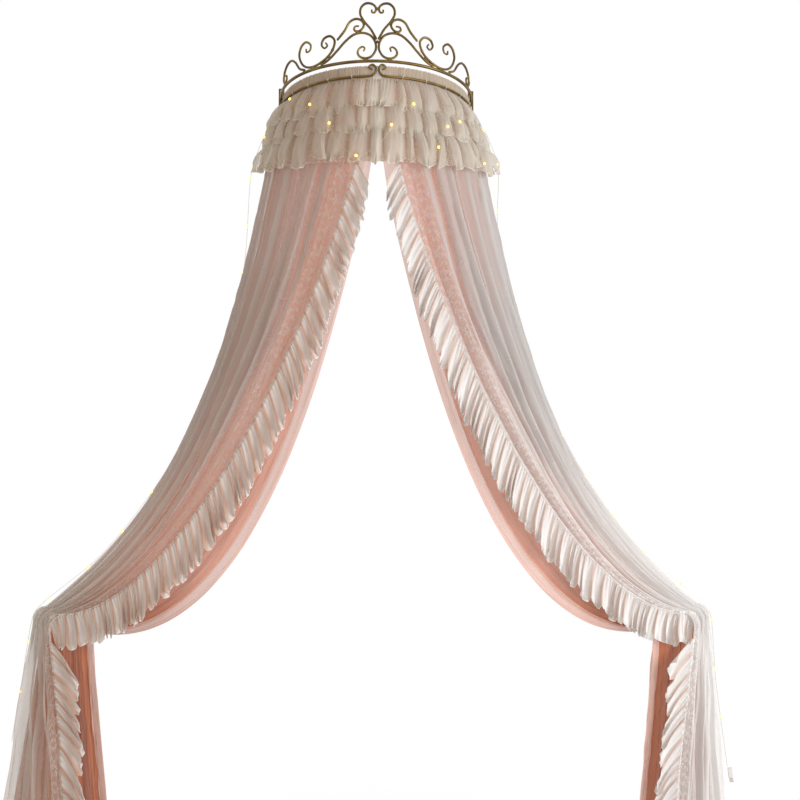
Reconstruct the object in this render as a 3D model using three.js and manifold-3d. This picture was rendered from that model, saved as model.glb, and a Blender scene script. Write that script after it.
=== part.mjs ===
import * as THREE from "three";
import { mergeVertices } from "three/addons/utils/BufferGeometryUtils.js";
import Module from "manifold-3d";

const wasm = await Module();
wasm.setup();
const { lerp } = THREE.MathUtils;

// The canopy hangs on a wall at y = 0 and stands out towards -Y.
// The origin is the middle of the back bar's wall face.

// Crown frame
const ringRadius = 300;
const railLevel = 20;
const railRod = 9;
const scrollRod = 7;
const bandHeight = 45;
const crownHeight = 172;
const weldGap = 0.4;
const wireLevel = railLevel - bandHeight;
const quarterTurn = Math.PI / 2;

// Flat steel against the wall
const steelThickness = 3;
const barHeight = 20;
const plateWidth = 18;
const plateAboveRail = 34;
const plateBelowWire = 12;
const seatGap = 0.3;

// Wood screws
const screwShank = 4;
const screwClearance = 0.5;
const screwHeadWidth = 8;
const screwHeadHeight = 2.6;
const screwLength = 30;
const barScrewSpacing = 200;
const plateScrewInset = 9;

// Cloth
const clothThickness = 1.6;
const baseThickness = 1.2;
const tapeThickness = 2.2;
const layerGap = 0.6;
const tierGap = 0.9;

// Heading under the crown, sewn to a tape that is tied to the lower wires
const tieCord = 1.5;
const tieClearance = 0.7;
const tieCount = 6;
const tieSpacing = 14 * (Math.PI / 180);
const tapeAboveOrigin = 8;
const tapeBelowWire = 15;
const wallEdgeAngle = 4 * (Math.PI / 180);
const tieRadius = (scrollRod + tieCord) / 2 + tieClearance;
const tapeOuterRadius = ringRadius - tieRadius;
const tapeRadius = tapeOuterRadius - tapeThickness / 2;

// Valance: a base cloth with three ruffled tiers
const valanceTop = wireLevel - tieRadius - tieCord / 2 - layerGap * 4;
const valanceDrop = 264;
const valanceBaseSpread = 76;
const wallDropShare = 0.65;
const wallDropPower = 0.6;
const tierTopShares = [0, 0.29, 0.56];
const tierBottomShares = [0.38, 0.65, 1.02];
const tierStandOff = [28, 22, 12];
const tierMiddleShare = 0.6;
const tierFoldDepth = 7;
const tierFolds = 16;

// Drapes: levels and places, measured from the origin
const sweepTopLevel = -250;
const sweepTopSpread = 45;
const sweepTopRadius = ringRadius + sweepTopSpread;
const headEndLevel = wireLevel - tapeBelowWire;
const hemLevel = -2350;
const drapeReach = 985;

// Ruffle sewn to the front edge of each outer drape
const ruffleWidth = 88;
const ruffleTopShare = 0.62;
const rufflePleatDepth = 8;
const ruffleThickness = 1.6;

// Wall hooks that hold the drapes aside
const pegRod = 10;
const pegLength = 59;
const knobWidth = 16;
const knobLength = 6;
const hookPlateWidth = 46;
const hookPlateThickness = 4;
const hookScrewSpacing = 28;

// String of lights
const stringWire = 1.6;
const bulbWidth = 6;
const bulbEverySteps = 2;
const stringSteps = 80;
const stringSides = 8;
const valanceStandOff = 9;
const edgeStandOff = 8;
const plugStandOff = 20;
const plugWidth = 14;
const plugDepth = 6;
const plugLength = 30;
const shellWidth = 12;
const shellDepth = 4.5;
const shellLength = 12;

const bronze = { color: 0x8a6d2f, roughness: 0.42, metalness: 0.85 };
const steel = { color: 0xb9b5ab, roughness: 0.35, metalness: 0.9 };
const lace = { color: 0xe9e2dc, roughness: 0.9, metalness: 0 };
const chiffon = { color: 0xf3eeea, roughness: 0.85, metalness: 0 };
const voile = { color: 0xe5a893, roughness: 0.85, metalness: 0 };
const tapeCotton = { color: 0xe7dccb, roughness: 0.95, metalness: 0 };
const warmGlow = { color: 0xffd890, roughness: 0.2, metalness: 0, emissive: 0xffb84a };
const plugPlastic = { color: 0xf0efec, roughness: 0.5, metalness: 0 };

const crownCanopy = new THREE.Group();

function addPiece(name, geometry, finish) {
  const mesh = new THREE.Mesh(geometry, new THREE.MeshStandardMaterial(finish));
  mesh.name = name;
  crownCanopy.add(mesh);
  return mesh;
}

// Solids for cutting and joining
function bareGeometry(geometry) {
  const bare = new THREE.BufferGeometry();
  const source = geometry.index ? geometry.toNonIndexed() : geometry;
  bare.setAttribute("position", source.getAttribute("position"));
  return mergeVertices(bare, 1e-4);
}

function toSolid(geometry) {
  const bare = bareGeometry(geometry);
  return new wasm.Manifold(
    new wasm.Mesh({
      numProp: 3,
      vertProperties: new Float32Array(bare.attributes.position.array),
      triVerts: new Uint32Array(bare.index.array),
    }),
  );
}

function toGeometry(solid) {
  const mesh = solid.getMesh();
  const geometry = new THREE.BufferGeometry();
  geometry.setAttribute("position", new THREE.BufferAttribute(mesh.vertProperties, 3));
  geometry.setIndex(new THREE.BufferAttribute(mesh.triVerts, 1));
  geometry.computeVertexNormals();
  return geometry;
}

function cutBy(geometry, cutters) {
  let solid = toSolid(geometry);
  for (const cutter of cutters) {
    solid = solid.subtract(toSolid(cutter));
  }
  return toGeometry(solid);
}

// Rods follow outlines that lie on the ring's cylinder
function roundSection(diameter, sides) {
  const corners = [];
  for (let i = 0; i < sides; i += 1) {
    const angle = (i * 2 * Math.PI) / sides;
    corners.push(new THREE.Vector2(Math.cos(angle), Math.sin(angle)).multiplyScalar(diameter / 2));
  }
  return new THREE.Shape(corners);
}

function rodAlong(curve, diameter, sides, steps) {
  return new THREE.ExtrudeGeometry(roundSection(diameter, sides), {
    steps,
    bevelEnabled: false,
    extrudePath: curve,
  });
}

// angle is measured from the crown's front, positive to the right
function ringPoint(angle, radius, level) {
  return new THREE.Vector3(radius * Math.sin(angle), -radius * Math.cos(angle), level);
}

class RingArc extends THREE.Curve {
  constructor(radius, level, from, to) {
    super();
    Object.assign(this, { radius, level, from, to });
  }

  getPoint(share) {
    return ringPoint(lerp(this.from, this.to, share), this.radius, this.level);
  }
}

function outlineCurve(shares, side, height) {
  const points = shares.map(([along, up]) =>
    ringPoint(side * along * quarterTurn, ringRadius, railLevel + up * height),
  );
  return new THREE.CatmullRomCurve3(points, false, "centripetal");
}

// Outlines: share of the quarter ring from the front, share of the crown's height above the rail
const heartShares = [
  [0.0085, 0.388], [0.042, 0.552], [0.083, 0.692], [0.106, 0.82], [0.1, 0.93], [0.072, 0.995],
  [0.038, 0.99], [0.014, 0.94], [0.0095, 0.885], [0.018, 0.838], [0.034, 0.842], [0.035, 0.878],
];
const sScrollShares = [
  [0.117, 0.612], [0.138, 0.605], [0.144, 0.555], [0.125, 0.518], [0.1, 0.542], [0.0835, 0.622],
  [0.098, 0.703], [0.132, 0.738], [0.17, 0.698], [0.206, 0.55], [0.25, 0.42],
];
const mainScrollShares = [
  [0.083, 0.18], [0.078, 0.225], [0.092, 0.25], [0.114, 0.212], [0.121, 0.14], [0.104, 0.075],
  [0.072, 0.049], [0.036, 0.082], [0.0115, 0.185], [0.0085, 0.256], [0.016, 0.343], [0.041, 0.437],
  [0.087, 0.488], [0.144, 0.47], [0.2, 0.366], [0.25, 0.235], [0.3, 0.12], [0.335, 0.068],
  [0.366, 0.049],
];
const lyreScrollShares = [
  [0.333, 0.4], [0.322, 0.35], [0.342, 0.315], [0.364, 0.385], [0.348, 0.482], [0.304, 0.505],
  [0.272, 0.418], [0.278, 0.295], [0.306, 0.185], [0.356, 0.095], [0.43, 0.049], [0.492, 0.088],
  [0.536, 0.19], [0.561, 0.355], [0.54, 0.488], [0.495, 0.53], [0.452, 0.44], [0.46, 0.355],
  [0.49, 0.35], [0.493, 0.4],
];
const sideScrollShares = [
  [0.508, 0.049], [0.556, 0.11], [0.603, 0.26], [0.655, 0.345], [0.722, 0.335], [0.782, 0.245],
  [0.8, 0.128], [0.77, 0.05], [0.735, 0.08], [0.733, 0.155], [0.755, 0.17],
];
// The lower wires use the band's height, down from the rail
const lowerWireShares = [
  [0.034, -0.55], [0.051, -0.43], [0.043, -0.28], [0.026, -0.25], [0.012, -0.4], [0.01, -0.66],
  [0.03, -0.93], [0.076, -1],
];

const rodSides = 6;
const railSides = 8;
const railSteps = 36;
const scrollSteps = 30;
const wallClear = Math.asin((steelThickness + weldGap) / ringRadius);
const sideNames = { left: -1, right: 1 };

function buildCrown() {
  const railArc = new RingArc(ringRadius, railLevel, wallClear - quarterTurn, quarterTurn - wallClear);
  addPiece("top_rail", rodAlong(railArc, railRod, railSides, railSteps), bronze);
  const cleared = [rodAlong(railArc, railRod + 2 * weldGap, railSides, railSteps)];

  const outlines = {
    heart: heartShares,
    main_scroll: mainScrollShares,
    lyre_scroll: lyreScrollShares,
    s_scroll: sScrollShares,
    side_scroll: sideScrollShares,
  };
  for (const [name, shares] of Object.entries(outlines)) {
    for (const [sideName, side] of Object.entries(sideNames)) {
      const curve = outlineCurve(shares, side, crownHeight);
      const rod = rodAlong(curve, scrollRod, rodSides, scrollSteps);
      addPiece(`${name}_${sideName}`, cutBy(rod, cleared), bronze);
      cleared.push(rodAlong(curve, scrollRod + 2 * weldGap, rodSides, scrollSteps));
    }
  }
  for (const [sideName, side] of Object.entries(sideNames)) {
    addPiece(`lower_wire_${sideName}`, lowerWire(side), bronze);
  }
}

// The lower wire curls up at the front and follows the ring to the wall plate
function lowerWire(side) {
  const points = lowerWireShares.map(([along, down]) =>
    ringPoint(side * along * quarterTurn, ringRadius, railLevel + down * bandHeight),
  );
  const levelSteps = 12;
  const levelStart = 0.14 * quarterTurn;
  for (let i = 0; i <= levelSteps; i += 1) {
    const angle = lerp(levelStart, quarterTurn - wallClear, i / levelSteps);
    points.push(ringPoint(side * angle, ringRadius, wireLevel));
  }
  const curve = new THREE.CatmullRomCurve3(points, false, "centripetal");
  return rodAlong(curve, scrollRod, rodSides, scrollSteps);
}

// Flat steel and screws at the wall
function steelBox(width, depth, height, x, y, z) {
  return new THREE.BoxGeometry(width, depth, height).translate(x, y, z);
}

function holeCutter(diameter, depth, x, z) {
  return new THREE.CylinderGeometry(diameter / 2, diameter / 2, depth * 3, 10).translate(x, -depth / 2, z);
}

function screwGeometry(x, z, seatDepth) {
  const headRadius = screwHeadWidth / 2;
  const shankRadius = screwShank / 2;
  const profile = [
    new THREE.Vector2(0, 0),
    new THREE.Vector2(headRadius / 2, 0),
    new THREE.Vector2(headRadius, screwHeadHeight / 2),
    new THREE.Vector2(headRadius, screwHeadHeight),
    new THREE.Vector2(shankRadius, screwHeadHeight),
    new THREE.Vector2(shankRadius, screwLength - screwShank),
    new THREE.Vector2(0, screwLength),
  ];
  const screw = new THREE.LatheGeometry(profile, 8);
  return screw.translate(x, -seatDepth - seatGap - screwHeadHeight, z);
}

function buildWallSteel() {
  const holeWidth = screwShank + 2 * screwClearance;
  const barWidth = 2 * ringRadius - plateWidth - 2 * seatGap;
  const barScrewPlaces = Object.values(sideNames).map((side) => (side * barScrewSpacing) / 2);
  const bar = steelBox(barWidth, steelThickness, barHeight, 0, -steelThickness / 2, 0);
  const barHoles = barScrewPlaces.map((x) => holeCutter(holeWidth, steelThickness, x, 0));
  addPiece("back_bar", cutBy(bar, barHoles), bronze);

  const plateTop = railLevel + plateAboveRail;
  const plateBottom = wireLevel - plateBelowWire;
  const plateHeight = plateTop - plateBottom;
  barScrewPlaces.forEach((x, i) => {
    addPiece(`bar_screw_${i + 1}`, screwGeometry(x, 0, steelThickness), steel);
  });
  for (const [sideName, side] of Object.entries(sideNames)) {
    const x = side * ringRadius;
    const plate = steelBox(
      plateWidth, steelThickness, plateHeight, x, -steelThickness / 2, (plateTop + plateBottom) / 2,
    );
    const levels = [plateTop - plateScrewInset, 0];
    const holes = levels.map((z) => holeCutter(holeWidth, steelThickness, x, z));
    addPiece(`wall_plate_${sideName}`, cutBy(plate, holes), bronze);
    levels.forEach((z, i) => {
      addPiece(`plate_screw_${sideName}_${i + 1}`, screwGeometry(x, z, steelThickness), steel);
    });
  }
}

// Cloth: a closed sheet from a grid of points on its middle surface
function gridNormals(grid) {
  const lastRow = grid.length - 1;
  const lastColumn = grid[0].length - 1;
  return grid.map((row, i) =>
    row.map((point, j) => {
      const down = grid[Math.min(i + 1, lastRow)][j].clone().sub(grid[Math.max(i - 1, 0)][j]);
      const across = grid[i][Math.min(j + 1, lastColumn)].clone().sub(grid[i][Math.max(j - 1, 0)]);
      return across.cross(down).normalize();
    }),
  );
}

function sheetGeometry(grid, thickness) {
  const normals = gridNormals(grid);
  const rows = grid.length;
  const columns = grid[0].length;
  const positions = [];
  for (const offset of [thickness / 2, -thickness / 2]) {
    grid.forEach((row, i) =>
      row.forEach((point, j) => {
        positions.push(...point.clone().addScaledVector(normals[i][j], offset).toArray());
      }),
    );
  }
  const at = (face, i, j) => (face * rows + i) * columns + j;
  const index = [];
  const quad = (a, b, c, d) => index.push(a, b, c, a, c, d);
  for (let i = 0; i < rows - 1; i += 1) {
    for (let j = 0; j < columns - 1; j += 1) {
      quad(at(0, i, j), at(0, i, j + 1), at(0, i + 1, j + 1), at(0, i + 1, j));
      quad(at(1, i, j), at(1, i + 1, j), at(1, i + 1, j + 1), at(1, i, j + 1));
    }
  }
  for (let i = 0; i < rows - 1; i += 1) {
    quad(at(0, i, 0), at(0, i + 1, 0), at(1, i + 1, 0), at(1, i, 0));
    const j = columns - 1;
    quad(at(0, i, j), at(1, i, j), at(1, i + 1, j), at(0, i + 1, j));
  }
  for (let j = 0; j < columns - 1; j += 1) {
    quad(at(0, 0, j), at(1, 0, j), at(1, 0, j + 1), at(0, 0, j + 1));
    const i = rows - 1;
    quad(at(0, i, j), at(0, i, j + 1), at(1, i, j + 1), at(1, i, j));
  }
  const geometry = new THREE.BufferGeometry();
  geometry.setAttribute("position", new THREE.Float32BufferAttribute(positions, 3));
  geometry.setIndex(index);
  return facingOut(geometry);
}

function facingOut(geometry) {
  if (toSolid(geometry).volume() < 0) {
    const index = geometry.index.array;
    for (let i = 0; i < index.length; i += 3) {
      [index[i + 1], index[i + 2]] = [index[i + 2], index[i + 1]];
    }
  }
  geometry.computeVertexNormals();
  return geometry;
}

// Rings of cloth round the crown, with angle share -1 at the left wall and 1 at the right
const clothSweep = quarterTurn - wallEdgeAngle;
const bandColumns = 40;

function ringGrid(columns, rows, place) {
  const grid = [];
  for (let i = 0; i <= rows; i += 1) {
    const row = [];
    for (let j = 0; j <= columns; j += 1) {
      const angle = lerp(-clothSweep, clothSweep, j / columns);
      const { radius, level } = place(i / rows, angle, j / columns);
      row.push(ringPoint(angle, radius, level));
    }
    grid.push(row);
  }
  return grid;
}

// The valance is shorter beside the wall than at the front
function dropShareAt(angle) {
  return wallDropShare + (1 - wallDropShare) * Math.cos(angle) ** wallDropPower;
}

const baseTopRadius = tapeOuterRadius + seatGap + baseThickness / 2;

function valancePlace(share, angle) {
  return {
    radius: baseTopRadius + share * valanceBaseSpread,
    level: valanceTop - share * valanceDrop * dropShareAt(angle),
  };
}

const tierSeat = (baseThickness + clothThickness) / 2 + tierGap;

function tierPlace(tier, down, angle, around) {
  const share = lerp(tierTopShares[tier], tierBottomShares[tier], down);
  const base = valancePlace(share, angle);
  const rise = down < 1 ? down * 2 * tierMiddleShare : 1;
  const fold = tierFoldDepth * down * Math.cos(around * tierFolds * 2 * Math.PI);
  return { radius: base.radius + tierSeat + rise * tierStandOff[tier] + fold, level: base.level };
}

function buildHeading() {
  const tapeTop = tapeAboveOrigin;
  const tapeBottom = wireLevel - tapeBelowWire;
  const tape = ringGrid(bandColumns, 1, (down) => ({
    radius: tapeRadius,
    level: lerp(tapeTop, tapeBottom, down),
  }));
  let tapeSolid = toSolid(sheetGeometry(tape, tapeThickness));
  for (let i = 1; i <= tieCount; i += 1) {
    for (const side of Object.values(sideNames)) {
      const angle = side * i * tieSpacing;
      const tie = new THREE.TorusGeometry(tieRadius, tieCord / 2, 3, 8);
      tie.rotateX(quarterTurn);
      tie.rotateZ(angle - quarterTurn);
      const place = ringPoint(angle, ringRadius, wireLevel);
      tapeSolid = tapeSolid.add(toSolid(tie.translate(place.x, place.y, place.z)));
    }
  }
  addPiece("heading_tape", toGeometry(tapeSolid), tapeCotton);

  const base = ringGrid(bandColumns, 1, (down, angle) => valancePlace(down, angle));
  addPiece("valance_base", sheetGeometry(base, baseThickness), chiffon);
  const tierNames = ["valance_tier_top", "valance_tier_middle", "valance_tier_bottom"];
  tierNames.forEach((name, tier) => {
    const grid = ringGrid(tierFolds * 4, 2, (down, angle, around) => tierPlace(tier, down, angle, around));
    addPiece(name, sheetGeometry(grid, clothThickness), chiffon);
  });
}

// Drapes: lines of cloth run from the heading, out under the valance, aside to the hook and down.
// A hook line holds [front share, reach beside the drape's reach, depth from the wall, level].
const outerLayer = {
  name: "outer_drape",
  finish: lace,
  columns: 20,
  folds: 5,
  frontAngle: 8.5 * (Math.PI / 180),
  headRadius: tapeRadius - (tapeThickness + clothThickness) / 2 - layerGap,
  inset: 0,
  foldDepths: { top: 0, sweepTop: 9, sweep: 13, hook: 5, hem: 12 },
  frontPowers: [1.667, 1.14],
  hookLine: [[0, 0, 30, -1560], [1, -80, 135, -1576]],
  bendRadius: 34,
  hemWall: { left: 1125, right: 1062 },
  hemFront: { left: 862, right: 850 },
  hemDepths: [32, 128],
};
const innerLayer = {
  name: "inner_drape",
  finish: voile,
  columns: 16,
  folds: 4,
  frontAngle: 2.5 * (Math.PI / 180),
  headRadius: outerLayer.headRadius - clothThickness - layerGap,
  inset: 24,
  foldDepths: { top: 0, sweepTop: 4, sweep: 6, hook: 3, hem: 7 },
  frontPowers: [1.54, 1],
  hookLine: [[0, -16, 22, -1574], [0.55, -30, 72, -1585], [1, -178, 112, -1622]],
  bendRadius: 15,
  hemWall: { left: 1098, right: 1036 },
  hemFront: { left: 742, right: 752 },
  hemDepths: [18, 96],
};

const headRows = 2;
const sweepRows = 9;
const bendRows = 2;
const fallRows = 4;
const wallLineShare = 0.42;
const wallLinePower = 3.6;

// How far a line of cloth has gone aside and down, at the wall edge and at the front edge
function wallLine(share) {
  return [wallLineShare * share + (1 - wallLineShare) * share ** wallLinePower, share];
}

function frontLine(layer, share) {
  const [downPower, asidePower] = layer.frontPowers;
  const turn = share * quarterTurn;
  return [1 - Math.max(Math.cos(turn), 0) ** asidePower, Math.sin(turn) ** downPower];
}

function hookPoint(layer, side, front) {
  const line = layer.hookLine;
  const after = Math.max(1, line.findIndex(([share]) => share >= front));
  const [shareA, ...placeA] = line[after - 1];
  const [shareB, ...placeB] = line[after];
  const between = (front - shareA) / (shareB - shareA);
  const [reach, depth, level] = placeA.map((value, i) => lerp(value, placeB[i], between));
  return new THREE.Vector3(side * (drapeReach + reach), -depth, level);
}

function hemPoint(layer, sideName, front) {
  const reach = lerp(layer.hemWall[sideName], layer.hemFront[sideName], front);
  return new THREE.Vector3(sideNames[sideName] * reach, -lerp(...layer.hemDepths, front), hemLevel);
}

function drapeLine(layer, sideName, front) {
  const side = sideNames[sideName];
  const angle = side * lerp(clothSweep, layer.frontAngle, front);
  const { foldDepths, bendRadius } = layer;
  const points = [];
  const depths = [];
  for (let i = 0; i < headRows; i += 1) {
    const level = lerp(tapeAboveOrigin, headEndLevel, i / (headRows - 1));
    points.push(ringPoint(angle, layer.headRadius, level));
    depths.push(foldDepths.top);
  }
  const start = ringPoint(angle, sweepTopRadius - layer.inset, sweepTopLevel);
  const hook = hookPoint(layer, side, front);
  for (let i = 0; i <= sweepRows; i += 1) {
    const share = i / sweepRows;
    const [wallAside, wallDown] = wallLine(share);
    const [frontAside, frontDown] = frontLine(layer, share);
    const aside = lerp(wallAside, frontAside, front);
    const down = lerp(wallDown, frontDown, front);
    const place = start.clone().lerp(hook, aside);
    points.push(place.setZ(lerp(start.z, hook.z, down)));
    const straight = lerp(foldDepths.sweepTop, foldDepths.hook, share);
    depths.push(lerp(straight, foldDepths.sweep, Math.sin(share * Math.PI) ** 2));
  }
  for (let i = 1; i <= bendRows; i += 1) {
    const turn = (i / bendRows) * quarterTurn;
    const out = side * bendRadius * Math.sin(turn);
    const drop = bendRadius * (1 - Math.cos(turn));
    points.push(new THREE.Vector3(hook.x + out, hook.y, hook.z - drop));
    depths.push(foldDepths.hook);
  }
  const bendEnd = points[points.length - 1];
  const hem = hemPoint(layer, sideName, front);
  for (let i = 1; i <= fallRows; i += 1) {
    const share = i / fallRows;
    points.push(bendEnd.clone().lerp(hem, share));
    depths.push(lerp(foldDepths.hook, foldDepths.hem, share));
  }
  return { points, depths };
}

function foldWave(layer, front) {
  return Math.cos(front * layer.folds * 2 * Math.PI);
}

function drapeGrid(layer, sideName) {
  const lines = [];
  for (let j = 0; j <= layer.columns; j += 1) {
    lines.push(drapeLine(layer, sideName, j / layer.columns));
  }
  const base = lines[0].points.map((point, i) => lines.map((line) => line.points[i]));
  const normals = gridNormals(base);
  return base.map((row, i) =>
    row.map((point, j) => {
      const wave = sideNames[sideName] * foldWave(layer, j / layer.columns);
      return point.clone().addScaledVector(normals[i][j], wave * lines[j].depths[i]);
    }),
  );
}

const outerGrids = {
  left: drapeGrid(outerLayer, "left"),
  right: drapeGrid(outerLayer, "right"),
};

function buildDrapes() {
  for (const [sideName, grid] of Object.entries(outerGrids)) {
    addPiece(`outer_drape_${sideName}`, sheetGeometry(grid, clothThickness), outerLayer.finish);
    const innerGrid = drapeGrid(innerLayer, sideName);
    addPiece(`inner_drape_${sideName}`, sheetGeometry(innerGrid, clothThickness), innerLayer.finish);
  }
}

// The ruffle continues the outer drape beyond its front edge, in two lengths that meet at the hook
const firstSweepRow = headRows;
const hookRow = headRows + sweepRows;
const fallTopRow = hookRow + bendRows;
const hemRow = fallTopRow + fallRows;
const sweepRuffleSeam = (clothThickness + ruffleThickness) / 2 + seatGap;
const fallRuffleSeam = clothThickness / 2 + seatGap;
const ruffleTurnShare = 0.35;
const rufflePleatSteps = 2;
const sweepRuffleSteps = 5;
const fallRuffleSteps = 4;
const sweepRuffleStartShare = 0.7;
const fallRuffleStartShare = 0.42;

function edgePlace(grid, sideName, row) {
  const side = sideNames[sideName];
  const last = grid[0].length - 1;
  const i = Math.min(Math.floor(row), grid.length - 2);
  const place = grid[i][last].clone().lerp(grid[i + 1][last], row - i);
  const run = grid[i + 1][last].clone().sub(grid[i][last]).normalize();
  const facing = new THREE.Vector3(side * ruffleTurnShare, -1, 0);
  const aside = facing.cross(run).multiplyScalar(-side).normalize();
  const front = run.cross(aside).multiplyScalar(side).normalize();
  return { place, front, aside };
}

function ruffleGrid(grid, sideName, { fromRow, toRow, stepsPerRow, topShare, seam }) {
  const steps = Math.round((toRow - fromRow) * stepsPerRow);
  const sewn = [];
  const free = [];
  for (let k = 0; k <= steps; k += 1) {
    const share = k / steps;
    const { place, front, aside } = edgePlace(grid, sideName, lerp(fromRow, toRow, share));
    const width = ruffleWidth * Math.min(1, lerp(topShare, 1, share * 2));
    const start = place.clone().addScaledVector(aside, seam);
    const pleat = Math.sin((k / rufflePleatSteps + 1 / 2) * Math.PI) * Math.min(1, share * stepsPerRow);
    const end = start.clone().addScaledVector(aside, width);
    sewn.push(start);
    free.push(end.addScaledVector(front, pleat * rufflePleatDepth));
  }
  return [sewn, free];
}

function buildRuffles() {
  for (const [sideName, grid] of Object.entries(outerGrids)) {
    const sweep = ruffleGrid(grid, sideName, {
      fromRow: firstSweepRow + sweepRuffleStartShare,
      toRow: hookRow,
      stepsPerRow: sweepRuffleSteps,
      topShare: ruffleTopShare,
      seam: sweepRuffleSeam,
    });
    addPiece(`sweep_ruffle_${sideName}`, sheetGeometry(sweep, ruffleThickness), chiffon);
    const fall = ruffleGrid(grid, sideName, {
      fromRow: fallTopRow + fallRuffleStartShare,
      toRow: hemRow,
      stepsPerRow: fallRuffleSteps,
      topShare: 1,
      seam: fallRuffleSeam,
    });
    addPiece(`fall_ruffle_${sideName}`, sheetGeometry(fall, ruffleThickness), chiffon);
  }
}

// Wall hooks
function buildHooks() {
  const [seatShare] = innerLayer.hookLine[1];
  const holeWidth = screwShank + 2 * screwClearance;
  for (const [sideName, side] of Object.entries(sideNames)) {
    const seat = hookPoint(innerLayer, side, seatShare);
    const seatFold = foldWave(innerLayer, seatShare) * innerLayer.foldDepths.hook;
    const clothUnder = seat.z + seatFold - clothThickness / 2;
    const level = clothUnder - seatGap - knobWidth / 2;
    const plate = new THREE.CylinderGeometry(
      hookPlateWidth / 2, hookPlateWidth / 2, hookPlateThickness, 20,
    );
    const screwLevels = [level + hookScrewSpacing / 2, level - hookScrewSpacing / 2];
    const holes = screwLevels.map((z) => holeCutter(holeWidth, hookPlateThickness, seat.x, z));
    plate.translate(seat.x, -hookPlateThickness / 2, level);
    addPiece(`hook_plate_${sideName}`, cutBy(plate, holes), bronze);
    screwLevels.forEach((z, i) => {
      addPiece(`hook_screw_${sideName}_${i + 1}`, screwGeometry(seat.x, z, hookPlateThickness), steel);
    });
    const rodStart = hookPlateThickness + seatGap;
    const rod = new THREE.CylinderGeometry(pegRod / 2, pegRod / 2, pegLength, 12);
    addPiece(`hook_rod_${sideName}`, rod.translate(seat.x, -rodStart - pegLength / 2, level), bronze);
    const knob = new THREE.CylinderGeometry(knobWidth / 2, knobWidth / 2, knobLength, 12);
    const knobPlace = -rodStart - pegLength - seatGap - knobLength / 2;
    addPiece(`hook_knob_${sideName}`, knob.translate(seat.x, knobPlace, level), bronze);
  }
}

// String of lights: up the left drape's wall edge, over the valance and down the right drape's edge.
// A place on the valance is [share of the way from front to wall, share of the drop].
const valanceRouteShares = [
  [-0.98, 1.05], [-0.92, 0.74], [-0.8, 0.46], [-0.68, 0.2], [-0.56, 0.08], [-0.44, 0.34], [-0.34, 0.2],
  [-0.22, 0.72], [-0.1, 0.96], [0.04, 0.74], [0.14, 0.24], [0.26, 0.5], [0.34, 0.94],
  [0.395, 0.52], [0.44, 0.24], [0.49, 0.44], [0.55, 0.72], [0.64, 0.92], [0.76, 0.4], [0.88, 0.56],
  [0.97, 0.86],
];
const leftEdgeRowShares = [1.9, 1, 0, -1, -3, -4.5, -6, -7.5, -9];
const rightEdgeRowShares = [-10, -9, -7.5, -6, -4.5, -3, -1, 0, 1];
const plugRowShare = 2.4;

function valanceCrest(share, angle) {
  const [topBottom, , lastBottom] = tierBottomShares;
  const sewn = tierPlace(0, 0, angle, 0).radius + tierFoldDepth;
  const upper = tierPlace(0, 1, angle, 0).radius;
  const lower = tierPlace(tierBottomShares.length - 1, 1, angle, 0).radius;
  if (share < topBottom) {
    return lerp(sewn, upper, share / topBottom);
  }
  return lerp(upper, lower, (share - topBottom) / (lastBottom - topBottom));
}

function edgeRoutePoint(sideName, rowFromFallTop, standOff) {
  const grid = outerGrids[sideName];
  const row = fallTopRow + rowFromFallTop;
  const i = Math.min(Math.floor(row), grid.length - 2);
  const place = grid[i][0].clone().lerp(grid[i + 1][0], row - i);
  const run = grid[i + 1][0].clone().sub(grid[i][0]).normalize();
  const outward = run.cross(new THREE.Vector3(0, 1, 0)).multiplyScalar(sideNames[sideName]);
  return place.addScaledVector(outward.normalize(), standOff);
}

function stringRoute() {
  const onValance = valanceRouteShares.map(([around, share]) => {
    const angle = around * clothSweep;
    const radius = valanceCrest(share, angle) + valanceStandOff;
    return ringPoint(angle, radius, valancePlace(share, angle).level);
  });
  return [
    ...leftEdgeRowShares.map((row) => edgeRoutePoint("left", row, edgeStandOff)),
    ...onValance,
    ...rightEdgeRowShares.map((row) => edgeRoutePoint("right", row, edgeStandOff)),
    edgeRoutePoint("right", plugRowShare, plugStandOff),
  ];
}

// A wire whose section swells into a small bulb at every second step
function beadedWire(curve) {
  const frames = curve.computeFrenetFrames(stringSteps, false);
  const positions = [];
  const addRing = (i, ahead, diameter) => {
    const centre = curve.getPointAt(i / stringSteps).addScaledVector(frames.tangents[i], ahead);
    for (let k = 0; k < stringSides; k += 1) {
      const angle = (k * 2 * Math.PI) / stringSides;
      const spoke = frames.normals[i].clone().multiplyScalar((Math.cos(angle) * diameter) / 2);
      spoke.addScaledVector(frames.binormals[i], (Math.sin(angle) * diameter) / 2);
      positions.push(...centre.clone().add(spoke).toArray());
    }
  };
  for (let i = 0; i <= stringSteps; i += 1) {
    const beaded = i % bulbEverySteps === 0 && i > 0 && i < stringSteps;
    if (beaded) {
      addRing(i, -bulbWidth, stringWire);
      addRing(i, 0, bulbWidth);
      addRing(i, bulbWidth, stringWire);
    } else {
      addRing(i, 0, stringWire);
    }
  }
  return sweptGeometry(positions, stringSides);
}

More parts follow.
